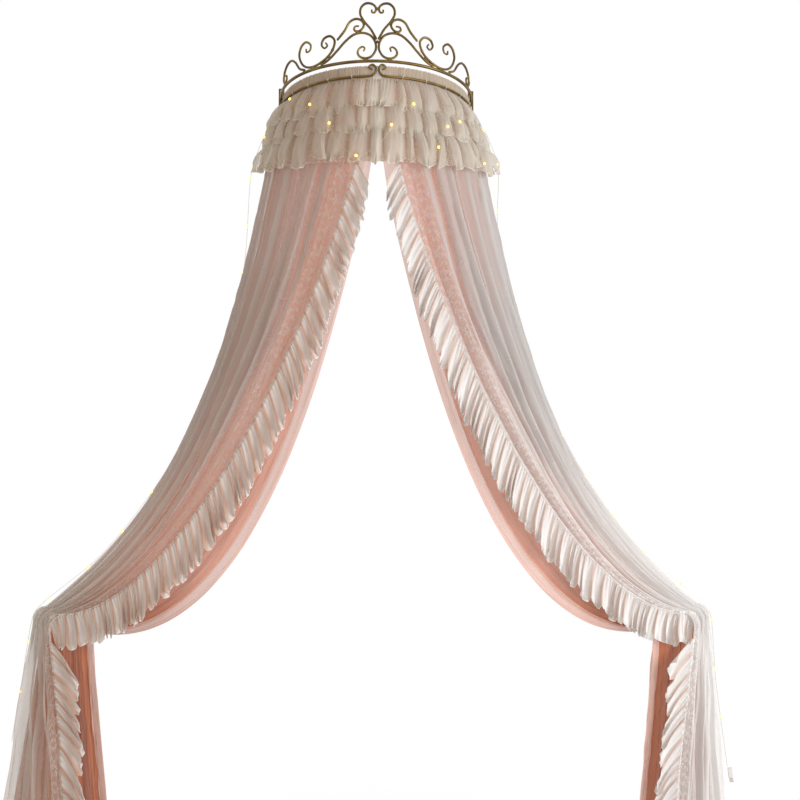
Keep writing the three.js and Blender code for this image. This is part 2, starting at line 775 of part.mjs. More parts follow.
// Closes a run of rings of points into a solid
function sweptGeometry(positions, sides) {
  const ringCount = positions.length / 3 / sides;
  const index = [];
  for (let i = 0; i < ringCount - 1; i += 1) {
    for (let k = 0; k < sides; k += 1) {
      const a = i * sides + k;
      const b = i * sides + ((k + 1) % sides);
      index.push(a, b, b + sides, a, b + sides, a + sides);
    }
  }
  const lastRing = (ringCount - 1) * sides;
  for (let k = 1; k < sides - 1; k += 1) {
    index.push(0, k + 1, k);
    index.push(lastRing, lastRing + k, lastRing + k + 1);
  }
  const geometry = new THREE.BufferGeometry();
  geometry.setAttribute("position", new THREE.Float32BufferAttribute(positions, 3));
  geometry.setIndex(index);
  return facingOut(geometry);
}

function buildLightString() {
  const curve = new THREE.CatmullRomCurve3(stringRoute(), false, "centripetal");
  curve.arcLengthDivisions = stringSteps * 10;
  addPiece("light_string", beadedWire(curve), warmGlow);

  const end = curve.getPointAt(1);
  const away = curve.getTangentAt(1);
  const placeAlong = (geometry, distance) => {
    const turn = new THREE.Quaternion().setFromUnitVectors(new THREE.Vector3(0, 0, 1), away);
    const place = end.clone().addScaledVector(away, distance);
    return geometry.applyQuaternion(turn).translate(place.x, place.y, place.z);
  };
  const body = new THREE.BoxGeometry(plugWidth, plugDepth, plugLength);
  const shell = new THREE.BoxGeometry(shellWidth, shellDepth, shellLength);
  const shellPlace = plugLength + 2 * seatGap + shellLength / 2;
  addPiece("string_plug", placeAlong(body, seatGap + plugLength / 2), plugPlastic);
  addPiece("string_plug_shell", placeAlong(shell, shellPlace), steel);
}

buildCrown();
buildWallSteel();
buildHeading();
buildDrapes();
buildRuffles();
buildHooks();
buildLightString();

export default crownCanopy;
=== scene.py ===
import math

import bmesh
import bpy
import numpy as np
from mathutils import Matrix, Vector


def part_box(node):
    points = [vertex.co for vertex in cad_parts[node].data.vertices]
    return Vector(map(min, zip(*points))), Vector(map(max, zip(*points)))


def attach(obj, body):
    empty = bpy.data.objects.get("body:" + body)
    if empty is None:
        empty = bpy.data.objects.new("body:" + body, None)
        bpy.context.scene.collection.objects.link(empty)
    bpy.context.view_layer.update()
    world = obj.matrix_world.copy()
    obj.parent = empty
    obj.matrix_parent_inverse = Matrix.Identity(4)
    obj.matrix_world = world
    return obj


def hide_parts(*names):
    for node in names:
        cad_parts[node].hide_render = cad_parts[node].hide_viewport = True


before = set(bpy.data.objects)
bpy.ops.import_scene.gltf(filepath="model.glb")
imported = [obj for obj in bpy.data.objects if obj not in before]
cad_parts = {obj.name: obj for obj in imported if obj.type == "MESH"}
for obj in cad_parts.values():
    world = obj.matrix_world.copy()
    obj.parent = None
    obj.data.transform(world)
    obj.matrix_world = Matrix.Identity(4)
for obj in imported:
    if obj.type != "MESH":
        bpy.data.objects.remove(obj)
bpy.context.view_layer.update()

# Sizes in metres. The canopy hangs on a wall at y = 0, stands out towards -Y, and its origin is
# the middle of the back bar's wall face.
SIDES = {"left": -1, "right": 1}
QUARTER = math.pi / 2
TURN = 2 * math.pi

RING_RADIUS = 0.300
RAIL_LEVEL = 0.020
RAIL_ROD = 0.009
SCROLL_ROD = 0.007
BAND_HEIGHT = 0.045
CROWN_HEIGHT = 0.172
WIRE_LEVEL = RAIL_LEVEL - BAND_HEIGHT
STEEL_THICKNESS = 0.003
WELD_GAP = 0.0004

TAPE_TOP = 0.008
TAPE_BELOW_WIRE = 0.015
TAPE_THICKNESS = 0.0022
TIE_CORD = 0.0015
TIE_CLEARANCE = 0.0007
TIE_COUNT = 6
TIE_SPACING = math.radians(14)
TIE_KNOT = 0.0023
TIE_RADIUS = (SCROLL_ROD + TIE_CORD) / 2 + TIE_CLEARANCE
TAPE_OUTER_RADIUS = RING_RADIUS - TIE_RADIUS
TAPE_RADIUS = TAPE_OUTER_RADIUS - TAPE_THICKNESS / 2
CLOTH_SWEEP = QUARTER - math.radians(4)

CLOTH = 0.0008
TAPE_CLOTH = 0.0014
VALANCE_TOP = WIRE_LEVEL - TIE_RADIUS - TIE_CORD / 2 - 0.0024
VALANCE_DROP = 0.264
VALANCE_SPREAD = 0.076
WALL_DROP_SHARE = 0.65
WALL_DROP_POWER = 0.6
BASE_TOP_RADIUS = TAPE_OUTER_RADIUS + 0.0009
TIER_SEAT = 0.0023
TIER_TOP_SHARES = (0, 0.29, 0.56)
TIER_BOTTOM_SHARES = (0.38, 0.65, 0.99)
TIER_STAND_OFF = (0.015, 0.012, 0.005)
TIER_FOLD_DEPTH = 0.007

SWEEP_TOP_LEVEL = -0.250
SWEEP_TOP_RADIUS = 0.345
HEAD_END_LEVEL = WIRE_LEVEL - TAPE_BELOW_WIRE
HEM_LEVEL = -2.350
DRAPE_REACH = 0.985
RUFFLE_WIDTH = 0.088
RUFFLE_HEADER = 0.007
FLOOR_LEVEL = -2.380

# Cloth that one gather takes up, points across a gather, and rows down the cloth
TAPE_GATHERS, TAPE_SAMPLES, TAPE_ROWS = 96, 9, 9
LINING_GATHERS, LINING_PLEAT, LINING_SAMPLES, LINING_ROWS = 62, 0.026, 8, 24
TIER_PETALS, TIER_PLEAT, TIER_SAMPLES, TIER_ROWS = 21, 0.100, 26, 30
FRILL_PLEAT, FRILL_SAMPLES, FRILL_ROWS = 0.070, 15, 22


# Maths on whole arrays
def lerp(a, b, share):
    return a + (b - a) * share


def ease(share):
    """A smooth step: 3t^2 - 2t^3 of the share held between 0 and 1."""
    t = np.clip(share, 0, 1)
    return t * t * (3 - 2 * t)


def wave(turns):
    """The sine of an angle in whole turns."""
    return np.sin(TURN * turns)


def arch(share):
    """The sine's first half: 0 at both ends and 1 in the middle."""
    return np.sin(np.pi * share)


def column(count):
    """Shares from 0 to 1, as a column."""
    return np.linspace(0, 1, count)[:, None]


def round_angles(count):
    """Angles at even steps of one turn."""
    return np.arange(count) * TURN / count


def unit(vectors):
    return vectors / np.maximum(np.linalg.norm(vectors, axis=-1, keepdims=True), 1e-12)


def together(*parts):
    """The parts side by side along a new last axis, all spread to one shape."""
    return np.stack(np.broadcast_arrays(*parts), axis=-1)


def joined(*parts):
    """The parts in one array, one after another."""
    return np.concatenate(parts)


def wander(places, seed, waves=5, fade=0.7):
    """A smooth random line: sines of rising frequency, each with a seeded phase and a fading height."""
    rng = np.random.default_rng(seed)
    total = 0
    for k in range(waves):
        pitch = (k + 1) * rng.uniform(0.8, 1.2)
        total = total + fade**k * wave(pitch * places + rng.random())
    return total * (1 - fade) / (1 - fade**waves) * 1.6


def ring_point(angle, radius, level):
    """A point on the crown's cylinder: the angle is measured from the front, positive to the right."""
    return together(radius * np.sin(angle), -radius * np.cos(angle), level)


def path_lengths(path):
    """Length along a path, or along each line of a grid, from its first row to each of its rows."""
    total = np.cumsum(np.linalg.norm(np.diff(path, axis=0), axis=-1), axis=0)
    return joined(0 * total[:1], total)


def read_line(vectors, lengths, places):
    """A line of vectors, known at lengths along it, read at other places."""
    return np.stack([np.interp(places, lengths, vectors[:, axis]) for axis in range(3)], axis=1)


def smooth_path(points, count, detail=24):
    """A smooth curve through the points, with its own points at even distances.

    Each span is a cubic whose end slopes weigh the chords beside it by the square root of their length.
    """
    knots = joined(2 * points[:1] - points[1:2], points, 2 * points[-1:] - points[-2:-1])
    chords = np.diff(knots, axis=0)
    spans = np.linalg.norm(chords, axis=1, keepdims=True)**0.5
    rates = chords / spans
    slopes = rates[:-1] + rates[1:] - (knots[2:] - knots[:-2]) / (spans[:-1] + spans[1:])
    b, c = points[:-1, None], points[1:, None]
    slope_b, slope_c = (spans[1:-1, None] * ends[:, None] for ends in (slopes[:-1], slopes[1:]))
    t = np.linspace(0, 1, detail, endpoint=False)[:, None]
    curve = b + slope_b * t + (3 * (c - b) - 2 * slope_b - slope_c) * t**2
    curve = curve + (2 * (b - c) + slope_b + slope_c) * t**3
    path = joined(curve.reshape(-1, 3), points[-1:])
    lengths = path_lengths(path)
    return read_line(path, lengths, np.linspace(0, lengths[-1], count))


# Meshes
def quads(a, b, c, d):
    return np.stack([corner.ravel() for corner in (a, b, c, d)], axis=1)


def place_piece(name, mesh, node, *finishes):
    """Puts a piece in the place of a node, with its finishes' materials."""
    piece = bpy.data.objects.new(name, mesh)
    bpy.context.scene.collection.objects.link(piece)
    for finish in finishes:
        mesh.materials.append(finish.material)
    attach(piece, "root")
    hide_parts(node)
    return piece


def shade(mesh, sharp):
    mesh.shade_smooth()
    mesh.set_sharp_from_angle(angle=math.radians(sharp))


class Shape:
    """Points, faces and flat cloth places collected for one piece."""

    def __init__(self):
        self.points, self.flats, self.faces, self.paints = [], [], [], []

    def add(self, points, *blocks, paint=0, flats=None):
        """Adds points with blocks of faces.

        flats are the points' places on the flat cloth, in metres, and paint is the finish's number.
        """
        count = sum(map(len, self.points))
        points = points.reshape(-1, 3)
        self.points.append(points)
        self.flats.append(np.zeros((len(points), 2)) if flats is None else flats.reshape(-1, 2))
        for faces in blocks:
            self.faces += (faces + count).tolist()
            self.paints += [paint] * len(faces)
        return self

    def build(self, name, node, *finishes, sharp=50):
        mesh = bpy.data.meshes.new(name)
        mesh.from_pydata(joined(*self.points), [], self.faces)
        flats = joined(*self.flats)[joined(*self.faces)]
        mesh.uv_layers.new(name="Flat").uv.foreach_set("vector", flats.astype(np.float32).ravel())
        mesh.validate()
        shade(mesh, sharp)
        piece = place_piece(name, mesh, node, *finishes)
        mesh.polygons.foreach_set("material_index", self.paints)
        return piece


def add_sheet(shape, grid, flats, thickness=CLOTH):
    """A closed sheet round a grid of points: each point is moved half the thickness along the surface's
    normal, across x down, for the front, and as far back for the back; four rims join them."""
    normal = unit(np.cross(np.gradient(grid, axis=1), np.gradient(grid, axis=0)))
    rows, columns = grid.shape[:2]
    front, back = np.arange(2 * rows * columns).reshape(2, rows, columns)
    faces = joined(
        quads(front[:-1, :-1], front[:-1, 1:], front[1:, 1:], front[1:, :-1]),
        quads(back[:-1, :-1], back[1:, :-1], back[1:, 1:], back[:-1, 1:]),
        quads(front[:-1, 0], front[1:, 0], back[1:, 0], back[:-1, 0]),
        quads(front[:-1, -1], back[:-1, -1], back[1:, -1], front[1:, -1]),
        quads(front[0, :-1], back[0, :-1], back[0, 1:], front[0, 1:]),
        quads(front[-1, :-1], front[-1, 1:], back[-1, 1:], back[-1, :-1]),
    )
    half = thickness / 2
    points = np.stack([grid + normal * half, grid - normal * half])
    return shape.add(points, faces, flats=np.stack([flats, flats]))


def strip_flats(along, samples, pleat, above):
    """Flat places of a gathered strip: every gather takes up the same length of cloth."""
    return together(np.arange(len(along)) * (pleat / samples), above)


def beside_run(run, upward):
    """Two directions across each run: aside, and up towards the upward direction."""
    aside = unit(np.cross(run, np.broadcast_to(upward, run.shape)))
    return aside, np.cross(aside, run)


def rings_round(path, run, upward, radii, sides):
    """Round rings across a path, measured from the upward direction."""
    aside, up = beside_run(run, upward)
    turn = round_angles(sides)[:, None]
    spokes = aside[:, None] * np.cos(turn) + up[:, None] * np.sin(turn)
    return path[:, None] + spokes * np.reshape(radii, (-1, 1, 1))


def add_rings(shape, rings, ends, paint=0):
    """A closed form: rings of points joined in a row, with a fan to a point at both ends."""
    count, sides = rings.shape[:2]
    at = np.arange(count * sides).reshape(count, sides)
    after = np.roll(at, -1, axis=1)
    walls = quads(at[:-1], at[1:], after[1:], after[:-1])
    fans = together(count * sides, at[0], after[0]), together(count * sides + 1, after[-1], at[-1])
    return shape.add(joined(rings.reshape(-1, 3), ends), walls, *fans, paint=paint)


def add_tube(shape, path, radii, sides, upward, run=None, paint=0):
    """A closed tube along a path; run is its direction where the path itself doesn't give it."""
    run = unit(np.gradient(path, axis=0)) if run is None else np.broadcast_to(run, path.shape)
    return add_rings(shape, rings_round(path, run, upward, radii, sides), path[[0, -1]], paint)


def add_rod(shape, path, radii, sides, upward):
    """A tube whose ends close in quarter circles, three rings each."""
    turn = np.radians([80, 55, 28])
    start, end = unit(path[0] - path[1]), unit(path[-1] - path[-2])
    first = path[0] + start * (radii[0] * np.sin(turn))[:, None]
    last = path[-1] + end * (radii[-1] * np.sin(turn[::-1]))[:, None]
    radii = joined(radii[0] * np.cos(turn), radii, radii[-1] * np.cos(turn[::-1]))
    upward = joined(upward[[0] * 3], upward, upward[[-1] * 3])
    return add_tube(shape, joined(first, path, last), radii, sides, upward)


def add_turned(shape, profile, place, axis, sides, paint=0):
    """A turned form: rings of (height along the axis, radius) from the profile."""
    heights, radii = np.array(profile).T
    axis = np.array(axis, dtype=float)
    upward = (0, 0, 1) if abs(axis[2]) < 0.9 else (1, 0, 0)
    return add_tube(shape, place + axis * heights[:, None], radii, sides, upward, axis, paint)


def ball_profile(radius, squash, steps=7):
    """Heights and radii of a ball, flattened along its axis by squash."""
    turn = np.linspace(-QUARTER, QUARTER, steps + 2)[1:-1]
    return np.stack([radius * squash * np.sin(turn), radius * np.cos(turn)], axis=1)


def build_sheet(name, node, grid, flats, finish, flat, held, rests_on, sharp=50):
    """A piece of sheet cloth. flat, what it is cut from, and held and rests_on, what it hangs by, are not
    used.
    """
    piece = add_sheet(Shape(), grid, flats).build(name, node, finish, sharp=sharp)


# Shader values and finishes
def operator(operation, reflected=False):
    """An operator method that adds a Math node; reflected puts the other value first."""
    def apply(value, other):
        return value.finish.math(operation, *((other, value) if reflected else (value, other)))
    return apply


class Value:
    """A shader value. An operator between values, or a value and a number, adds a Math node."""

    def __init__(self, finish, socket):
        self.finish, self.socket = finish, socket

    def output(self, name):
        return Value(self.finish, self.socket.node.outputs[name])

    def __abs__(self):
        return self.finish.math("ABSOLUTE", self)

    __add__ = __radd__ = operator("ADD")
    __mul__ = __rmul__ = operator("MULTIPLY")
    __sub__, __rsub__ = operator("SUBTRACT"), operator("SUBTRACT", True)
    __truediv__, __rtruediv__ = operator("DIVIDE"), operator("DIVIDE", True)


class Finish:
    """A material made of nodes, one call each, or another owner of a node tree.

    slot is kept as the name of what the piece is made of.
    """

    def __init__(self, name, slot=None, owner=None):
        self.slot = slot or name
        self.material = owner or bpy.data.materials.new(name)
        self.material.use_nodes = True
        self.tree = self.material.node_tree
        self.tree.nodes.clear()

    def node(self, kind, sockets=(), output=0, **settings):
        """Adds a node: first its settings, with a ramp's stops as (place, colour), then its sockets."""
        made = self.tree.nodes.new("ShaderNode" + kind)
        for key, value in settings.items():
            if key == "stops":
                self.set_stops(made.color_ramp.elements, value)
            else:
                setattr(made, key, value)
        for key, value in dict(sockets).items():
            if isinstance(value, Value):
                self.tree.links.new(value.socket, made.inputs[key])
            else:
                colour = made.inputs[key].type == "RGBA"
                made.inputs[key].default_value = (*value, 1) if colour else value
        return Value(self, made.outputs[output]) if len(made.outputs) else None

    @staticmethod
    def set_stops(elements, stops):
        while len(elements) < len(stops):
            elements.new(1)
        for element, (place, colour) in zip(elements, stops):
            element.position, element.color = place, (*colour, 1)

    def math(self, operation, *values):
        return self.node("Math", dict(enumerate(values)), operation=operation)

    def step(self, value, start, end):
        """0 at start and 1 at end, smooth between; start may be the larger."""
        sockets = {"Value": value, "From Min": start, "From Max": end}
        return self.node("MapRange", sockets, interpolation_type="SMOOTHSTEP")

    def blend(self, factor, colour_a, colour_b):
        return self.node("Mix", {0: factor, 6: colour_a, 7: colour_b}, 2, data_type="RGBA")

    def flat_place(self):
        """The place on the flat cloth, in metres: across, along."""
        split = self.node("SeparateXYZ", {0: self.node("UVMap", uv_map="Flat")})
        return split, split.output("Y")

    def object_place(self):
        return self.node("TexCoord", output="Object")

    def sideways(self):
        return self.node("SeparateXYZ", {0: self.object_place()})

    def vector(self, x, y):
        return self.node("CombineXYZ", {0: x, 1: y})

    def noise(self, place, scale, detail=3, roughness=0.55):
        sockets = {"Vector": place, "Scale": scale, "Detail": detail, "Roughness": roughness}
        return self.node("TexNoise", sockets)

    def streaks(self, x, y, detail=2, roughness=0.55):
        """Noise whose grain is one unit of x by one of y."""
        return self.noise(self.vector(x, y), 1, detail, roughness)

    def bump(self, height, distance, strength):
        return self.node("Bump", {"Strength": strength, "Distance": distance, "Height": height})

    def show(self, shader, output="OutputMaterial"):
        self.node(output, {"Surface": shader})
        return self

    def solid(self, **sockets):
        """An opaque surface; underscores stand for the spaces in its sockets' names."""
        named = {name.replace("_", " "): value for name, value in sockets.items()}
        return self.show(self.node("BsdfPrincipled", named))

    def cloth(self, colour, opacity, normal, glow, glow_share):
        """Thin cloth: a see-through share beside a mix of a matt front and the light from behind."""
        front = self.node("BsdfPrincipled", {
            "Base Color": colour, "Roughness": 0.85, "Normal": normal,
            "Sheen Weight": 0.25, "Sheen Roughness": 0.5, "Specular IOR Level": 0.2,
        })
        behind = self.node("BsdfTranslucent", {"Color": glow, "Normal": normal})
        body = self.node("MixShader", {0: glow_share, 1: front, 2: behind})
        return self.show(self.node("MixShader", {0: opacity, 1: self.node("BsdfTransparent"), 2: body}))


def bronze_finish():
    """Antique bronze iron: an even dark gold, a little browner in places, faintly hammered."""
    f = Finish("bronze_iron")
    place = f.object_place()
    patches = f.noise(place, 14, 3, 0.5)
    specks = f.noise(place, 420, 3, 0.65)
    wear = f.step(patches * 0.8 + specks * 0.2, 0.3, 0.7)
    colour = f.node("ValToRGB", {0: wear}, stops=[
        (0.0, (0.085, 0.050, 0.014)), (0.6, (0.155, 0.098, 0.026)), (1.0, (0.250, 0.168, 0.046)),
    ])
    dents = f.node("TexVoronoi", {"Vector": place, "Scale": 240, "Smoothness": 0.6}, feature="SMOOTH_F1")
    normal = f.bump(dents * 0.6 + specks * 0.4, 0.0006, 0.6)
    return f.solid(Base_Color=colour, Metallic=0.8, Roughness=0.46 - 0.12 * wear, Normal=normal)


def steel_finish():
    """Zinc-plated steel with fine turned marks."""
    f = Finish("zinc_steel")
    place = f.object_place()
    grain = f.noise(place, 900, 2)
    tone = f.blend(f.noise(place, 120), (0.46, 0.45, 0.42), (0.66, 0.65, 0.60))
    normal = f.bump(grain, 0.0002, 0.5)
    return f.solid(Base_Color=tone, Metallic=0.95, Roughness=0.28 + 0.18 * grain, Normal=normal)


def largest(f, top, *others):
    for other in others:
        top = f.math("MAXIMUM", top, other)
    return top


def weave(f, across, along, pitch):
    """Crossing threads: the higher of two rows of half-round threads, from 0 to 1."""
    return largest(f, *(abs(f.math("SINE", place * (math.pi / pitch))) for place in (across, along)))


def ellipse(f, x, y, length, width, turn):
    """1 inside an ellipse turned by an angle, soft at its rim."""
    c, s = math.cos(turn), math.sin(turn)
    along = (x * c + y * s) / length
    aside = (y * c - x * s) / width
    return f.step(along * along + aside * aside, 1.25, 0.8)


def flower(f, x, y, radius):
    """Five petals: radius times 0.66 + 0.34 cos 5a at angle a, round a small open eye."""
    distance = f.math("SQRT", x * x + y * y)
    angle = f.math("ARCTAN2", y, x)
    petals = f.math("COSINE", angle * 5) * (0.34 * radius) + 0.66 * radius
    body = f.step(distance - petals, 0.0008, -0.0008)
    return body * f.step(distance, 0.12 * radius, 0.24 * radius)


def cell_place(f, place, size):
    """The place from the middle of its own cell in a row of cells."""
    return (f.math("FRACT", place) - 0.5) * size


def sprigs(f, across, along, width, height):
    """One sprig to a cell of a staggered grid: a flower, a stem and two pairs of leaves, each turned."""
    strip = f.math("FLOOR", across / width)
    stagger = along / height + strip * 0.5
    row = f.math("FLOOR", stagger)
    x, y = cell_place(f, across / width, width), cell_place(f, stagger, height)
    turn = f.math("SINE", strip * 2.4 + row * 4.1) * 1.3
    c, s = f.math("COSINE", turn), f.math("SINE", turn)
    x, y = x * c - y * s, x * s + y * c
    stem = f.step(abs(x + f.math("SINE", y * 160) * 0.0018), 0.0015, 0.0005)
    stem = stem * f.step(abs(y - 0.016), 0.022, 0.019)
    low = ellipse(f, abs(x) - 0.009, y - 0.010, 0.0085, 0.0036, 0.7)
    high = ellipse(f, abs(x) - 0.007, y - 0.026, 0.0065, 0.0028, 0.9)
    bloom = flower(f, x, y + 0.013, 0.0135)
    bud = flower(f, abs(x) - 0.019, y + 0.004, 0.0055)
    return largest(f, stem, low, high, bloom, bud)


def vine(f, across, along, middle, period):
    """A wavy stem down a band, with leaves on both sides and a flower in each bend."""
    offset = across - middle - f.math("SINE", along * (TURN / period)) * 0.014
    stem = f.step(abs(offset), 0.0016, 0.0007)
    leaf_pitch, half = period / 5, period / 2
    leaf_place = cell_place(f, along / leaf_pitch, leaf_pitch)
    leaves = ellipse(f, abs(offset) - 0.010, leaf_place, 0.0095, 0.0042, 0.75)
    bend = f.math("FLOOR", along / half)
    swing = 1 - 2 * f.math("PINGPONG", bend, 1)
    x = across - middle + swing * 0.016
    return largest(f, stem, leaves, flower(f, x, cell_place(f, along / half, half), 0.017))


# Long creases of the lace, shared with its shape: place across, half width, how strongly it shows, depth
LACE_FOLDS = (
    (0.178, 0.020, 0.34, 0.014), (0.300, 0.016, 0.20, 0.008), (0.420, 0.022, 0.26, 0.012),
    (0.610, 0.020, 0.20, 0.009),
)


def lace_finish():
    """White lace: a denser field with faint sprigs, and a clear net band of vine along the ruffle.

    The lace's tones are painted darker and warmer on the left as painted side shade, the field is painted
    darker under the valance as painted shade, and it is thinner further down.
    """
    f = Finish("white_lace")
    across, along = f.flat_place()
    right = f.step(f.sideways(), -0.1, 0.1)
    lower = f.step(along, 0.6, 1.4)
    band = f.step(across - 0.09 * lower, 0.132, 0.112)
    field = sprigs(f, across - 0.132, along, 0.110, 0.108) * (1 - band)
    inner = vine(f, across, along, 0.036, 0.150)
    outer = vine(f, across, along + 0.05, 0.090, 0.118)
    motif = largest(f, inner, outer) * band
    net = weave(f, across + along, across - along, 0.0021)
    sheer = 0.20 * f.step(along, 0.85, 0.30) + (0.22 - 0.10 * right) * lower
    loose = 0.34 * (f.streaks(across * 13, along * 0.7, 2, 0.5) - 0.5)
    loose = loose + (0.34 + 0.5 * lower) * (f.streaks(across * 6, along * 0.5) - 0.5)
    full = 0.57 + 0.14 * f.step(across, 0.34, 0.60) + right * (0.05 + 0.08 * lower)
    clear = (0.42 - 0.06 * lower) * (1 - right * (0.12 + 0.60 * lower)) * (1 - 0.7 * f.step(along, 1.5, 1.8))
    ground = full - sheer - clear * band + (1 - 0.5 * band) * loose
    for place, width, strength, _ in LACE_FOLDS:
        dip = f.step(abs(across - place), width, 0)
        crest = f.step(abs(across - place + 1.9 * width), 1.3 * width, 0)
        ground = ground + strength * (0.7 * crest - dip)
    ground = largest(f, ground + 0.06 * (net - 0.6), 0.1)
    knots = f.step(f.noise(f.vector(across, along), 240, 2), 0.5, 0.62)
    opacity = f.math("MINIMUM", ground + 0.24 * motif + 0.10 * knots * band + 0.10 * field, 0.94)
    # Painted side shade: the same white lace gets darker, warmer tones on the left than on the right.
    net_tone = f.blend(right, (0.62, 0.52, 0.43), (0.72, 0.69, 0.67))
    full_tone = f.blend(right, (0.80, 0.78, 0.76), (0.84, 0.835, 0.83))
    painted_shade_tone = f.blend(right, (0.54, 0.50, 0.47), (0.575, 0.575, 0.57))
    # Painted shade under the valance: the tone is darkened towards the top, less in the net band.
    deep = f.step(along, 1.8, 0.8) * (1 - 0.85 * band)
    tone = f.blend(deep, f.blend(opacity, net_tone, full_tone), painted_shade_tone)
    normal = f.bump(motif * 0.5 + field * 0.2 + net * 0.3, 0.0003, 0.3)
    return f.cloth(tone, opacity, normal, (0.85, 0.82, 0.80), 0.35)


def chiffon_finish(name, density, pleat, deep, dark, light, glow):
    """White chiffon: crinkled along its gathers and thinner between them, with painted shade that darkens the
    crinkles' lows and darkens and warms the valleys between gathers, warmer still on the left.

    It is denser at its rolled hem and at x = 0, where its ends overlap.
    """
    f = Finish(name, "white_chiffon")
    across, above_hem = f.flat_place()
    creases = f.streaks(across / 0.010, above_hem / 0.06, 4, 0.6)
    broad = f.streaks(across / 0.045, above_hem / 0.2)
    hem = f.step(above_hem, 0.0038, 0.002)
    valley = f.step(abs(f.math("FRACT", across / pleat) - 0.5), 0.26, 0.49)
    beside = f.sideways()
    middle, left = f.step(abs(beside), 0.045, 0.015), f.step(beside, 0.1, -0.1)
    opacity = density + 0.20 * (creases - 0.5) + 0.26 * (broad - 0.5)
    opacity = opacity + 0.30 * hem - 0.20 * valley + 0.2 * middle
    # Painted shade: the tone is darker in the crinkles' lows, and blends towards the deep tone in the valleys
    # between gathers and, warmer, on the left.
    tone = f.blend(largest(f, creases, hem), dark, light)
    tone = f.blend(valley * (0.5 + 0.3 * left) + 0.15 * left, tone, deep)
    normal = f.bump(creases * 0.85 + weave(f, across, above_hem, 0.0008) * 0.15, 0.0014, 0.5)
    return f.cloth(tone, opacity, normal, glow, 0.62 - 0.5 * density)


def voile_finish():
    """Sheer peach voile, streaked along its soft folds, with a paler turned hem down its front edge and
    painted shade that darkens its falls.
    """
    f = Finish("peach_voile")
    across, along = f.flat_place()
    hem = f.step(across, 0.058, 0.050)
    seam = f.step(abs(across - 0.058), 0.0045, 0.0015)
    falls = f.step(along, 1.45, 1.8)
    drift = f.streaks(across * 34, along * 0.9, 3, 0.6)
    broad = f.streaks(across * 8, along * 0.6)
    opacity = 0.70 + 0.60 * (drift - 0.5) + 0.40 * (broad - 0.5) - 0.24 * hem + 0.2 * seam
    opacity = opacity + 0.16 * f.step(along, 1.5, 1.9)
    tone = f.blend(f.step(drift, 0.3, 0.75), (0.68, 0.265, 0.145), (0.86, 0.54, 0.44))
    # Painted shade: the falls are blended towards a darker, deeper peach.
    tone = f.blend(falls * 0.85, tone, (0.56, 0.17, 0.065))
    tone = f.blend(largest(f, hem * 0.5, seam), tone, (0.92, 0.70, 0.62))
    normal = f.bump(weave(f, across, along, 0.0009) * 0.3 + seam * 0.7, 0.0004, 0.4)
    return f.cloth(tone, opacity, normal, (0.86, 0.48, 0.36), 0.4 - 0.22 * falls)


def tape_finish():
    """Gathered cotton tape: close weave, two sewn lines, and painted shade that darkens its creases."""
    f = Finish("cotton_tape")
    across, along = f.flat_place()
    cords = f.step(abs(abs(along - 0.024) - 0.012), 0.0016, 0.0006)
    creases = f.streaks(across / 0.004, along / 0.03, 4, 0.6)
    # Painted shade: the tape's tone darkens to brown in its crease lows.
    tone = f.blend(creases, (0.46, 0.38, 0.28), (0.78, 0.71, 0.60))
    normal = f.bump(creases * 0.7 + cords * 0.3 + weave(f, across, along, 0.0009) * 0.1, 0.0012, 0.7)
    opacity = 0.60 + 0.5 * (creases - 0.5) + 0.4 * (f.streaks(across * 14, along * 8) - 0.5)
    return f.cloth(tone, opacity, normal, (0.66, 0.57, 0.46), 0.2)


def plain_finish(name, colour, roughness, grain_scale, metallic=0.0):
    """A moulded or drawn surface with a faint grain."""
    f = Finish(name)
    grain = f.noise(f.object_place(), grain_scale)
    return f.solid(
        Base_Color=f.blend(grain, tuple(0.82 * c for c in colour), colour), Metallic=metallic,
        Roughness=roughness + 0.12 * grain, Normal=f.bump(grain, 0.0002, 0.3),
    )


def bulb_finish():
    """A small warm lamp, a little uneven."""
    f = Finish("warm_bulb")
    colour = f.blend(f.noise(f.object_place(), 300, 1), (1.0, 0.42, 0.025), (1.0, 0.55, 0.05))
    return f.solid(Base_Color=(0.8, 0.6, 0.3), Roughness=0.25, Emission_Color=colour, Emission_Strength=4.0)


BRONZE = bronze_finish()
STEEL = steel_finish()
LACE = lace_finish()
# The valance, frill and lining are one white chiffon; the darker, warmer tones of the valance and the lining
# are painted shade.
CHIFFON = chiffon_finish(
    "valance_chiffon", 0.46, TIER_PLEAT, (0.60, 0.46, 0.34), (0.70, 0.655, 0.59), (0.87, 0.85, 0.80),
    (0.83, 0.79, 0.70),
)
FRILL_CHIFFON = chiffon_finish(
    "frill_chiffon", 0.78, FRILL_PLEAT, (0.70, 0.46, 0.34), (0.83, 0.82, 0.81), (0.93, 0.93, 0.93),
    (0.90, 0.89, 0.87),
)
LINING = chiffon_finish(
    "lining_chiffon", 0.36, LINING_PLEAT, (0.64, 0.45, 0.34), (0.66, 0.56, 0.47), (0.78, 0.70, 0.62),
    (0.80, 0.68, 0.58),
)
VOILE = voile_finish()
TAPE = tape_finish()
PLASTIC = plain_finish("plug_plastic", (0.82, 0.81, 0.78), 0.38, 700)
WIRE = plain_finish("light_wire", (0.62, 0.52, 0.36), 0.35, 900, 0.6)
CORD = plain_finish("tie_cord", (0.72, 0.66, 0.56), 0.7, 900)
BULB_GLASS = bulb_finish()


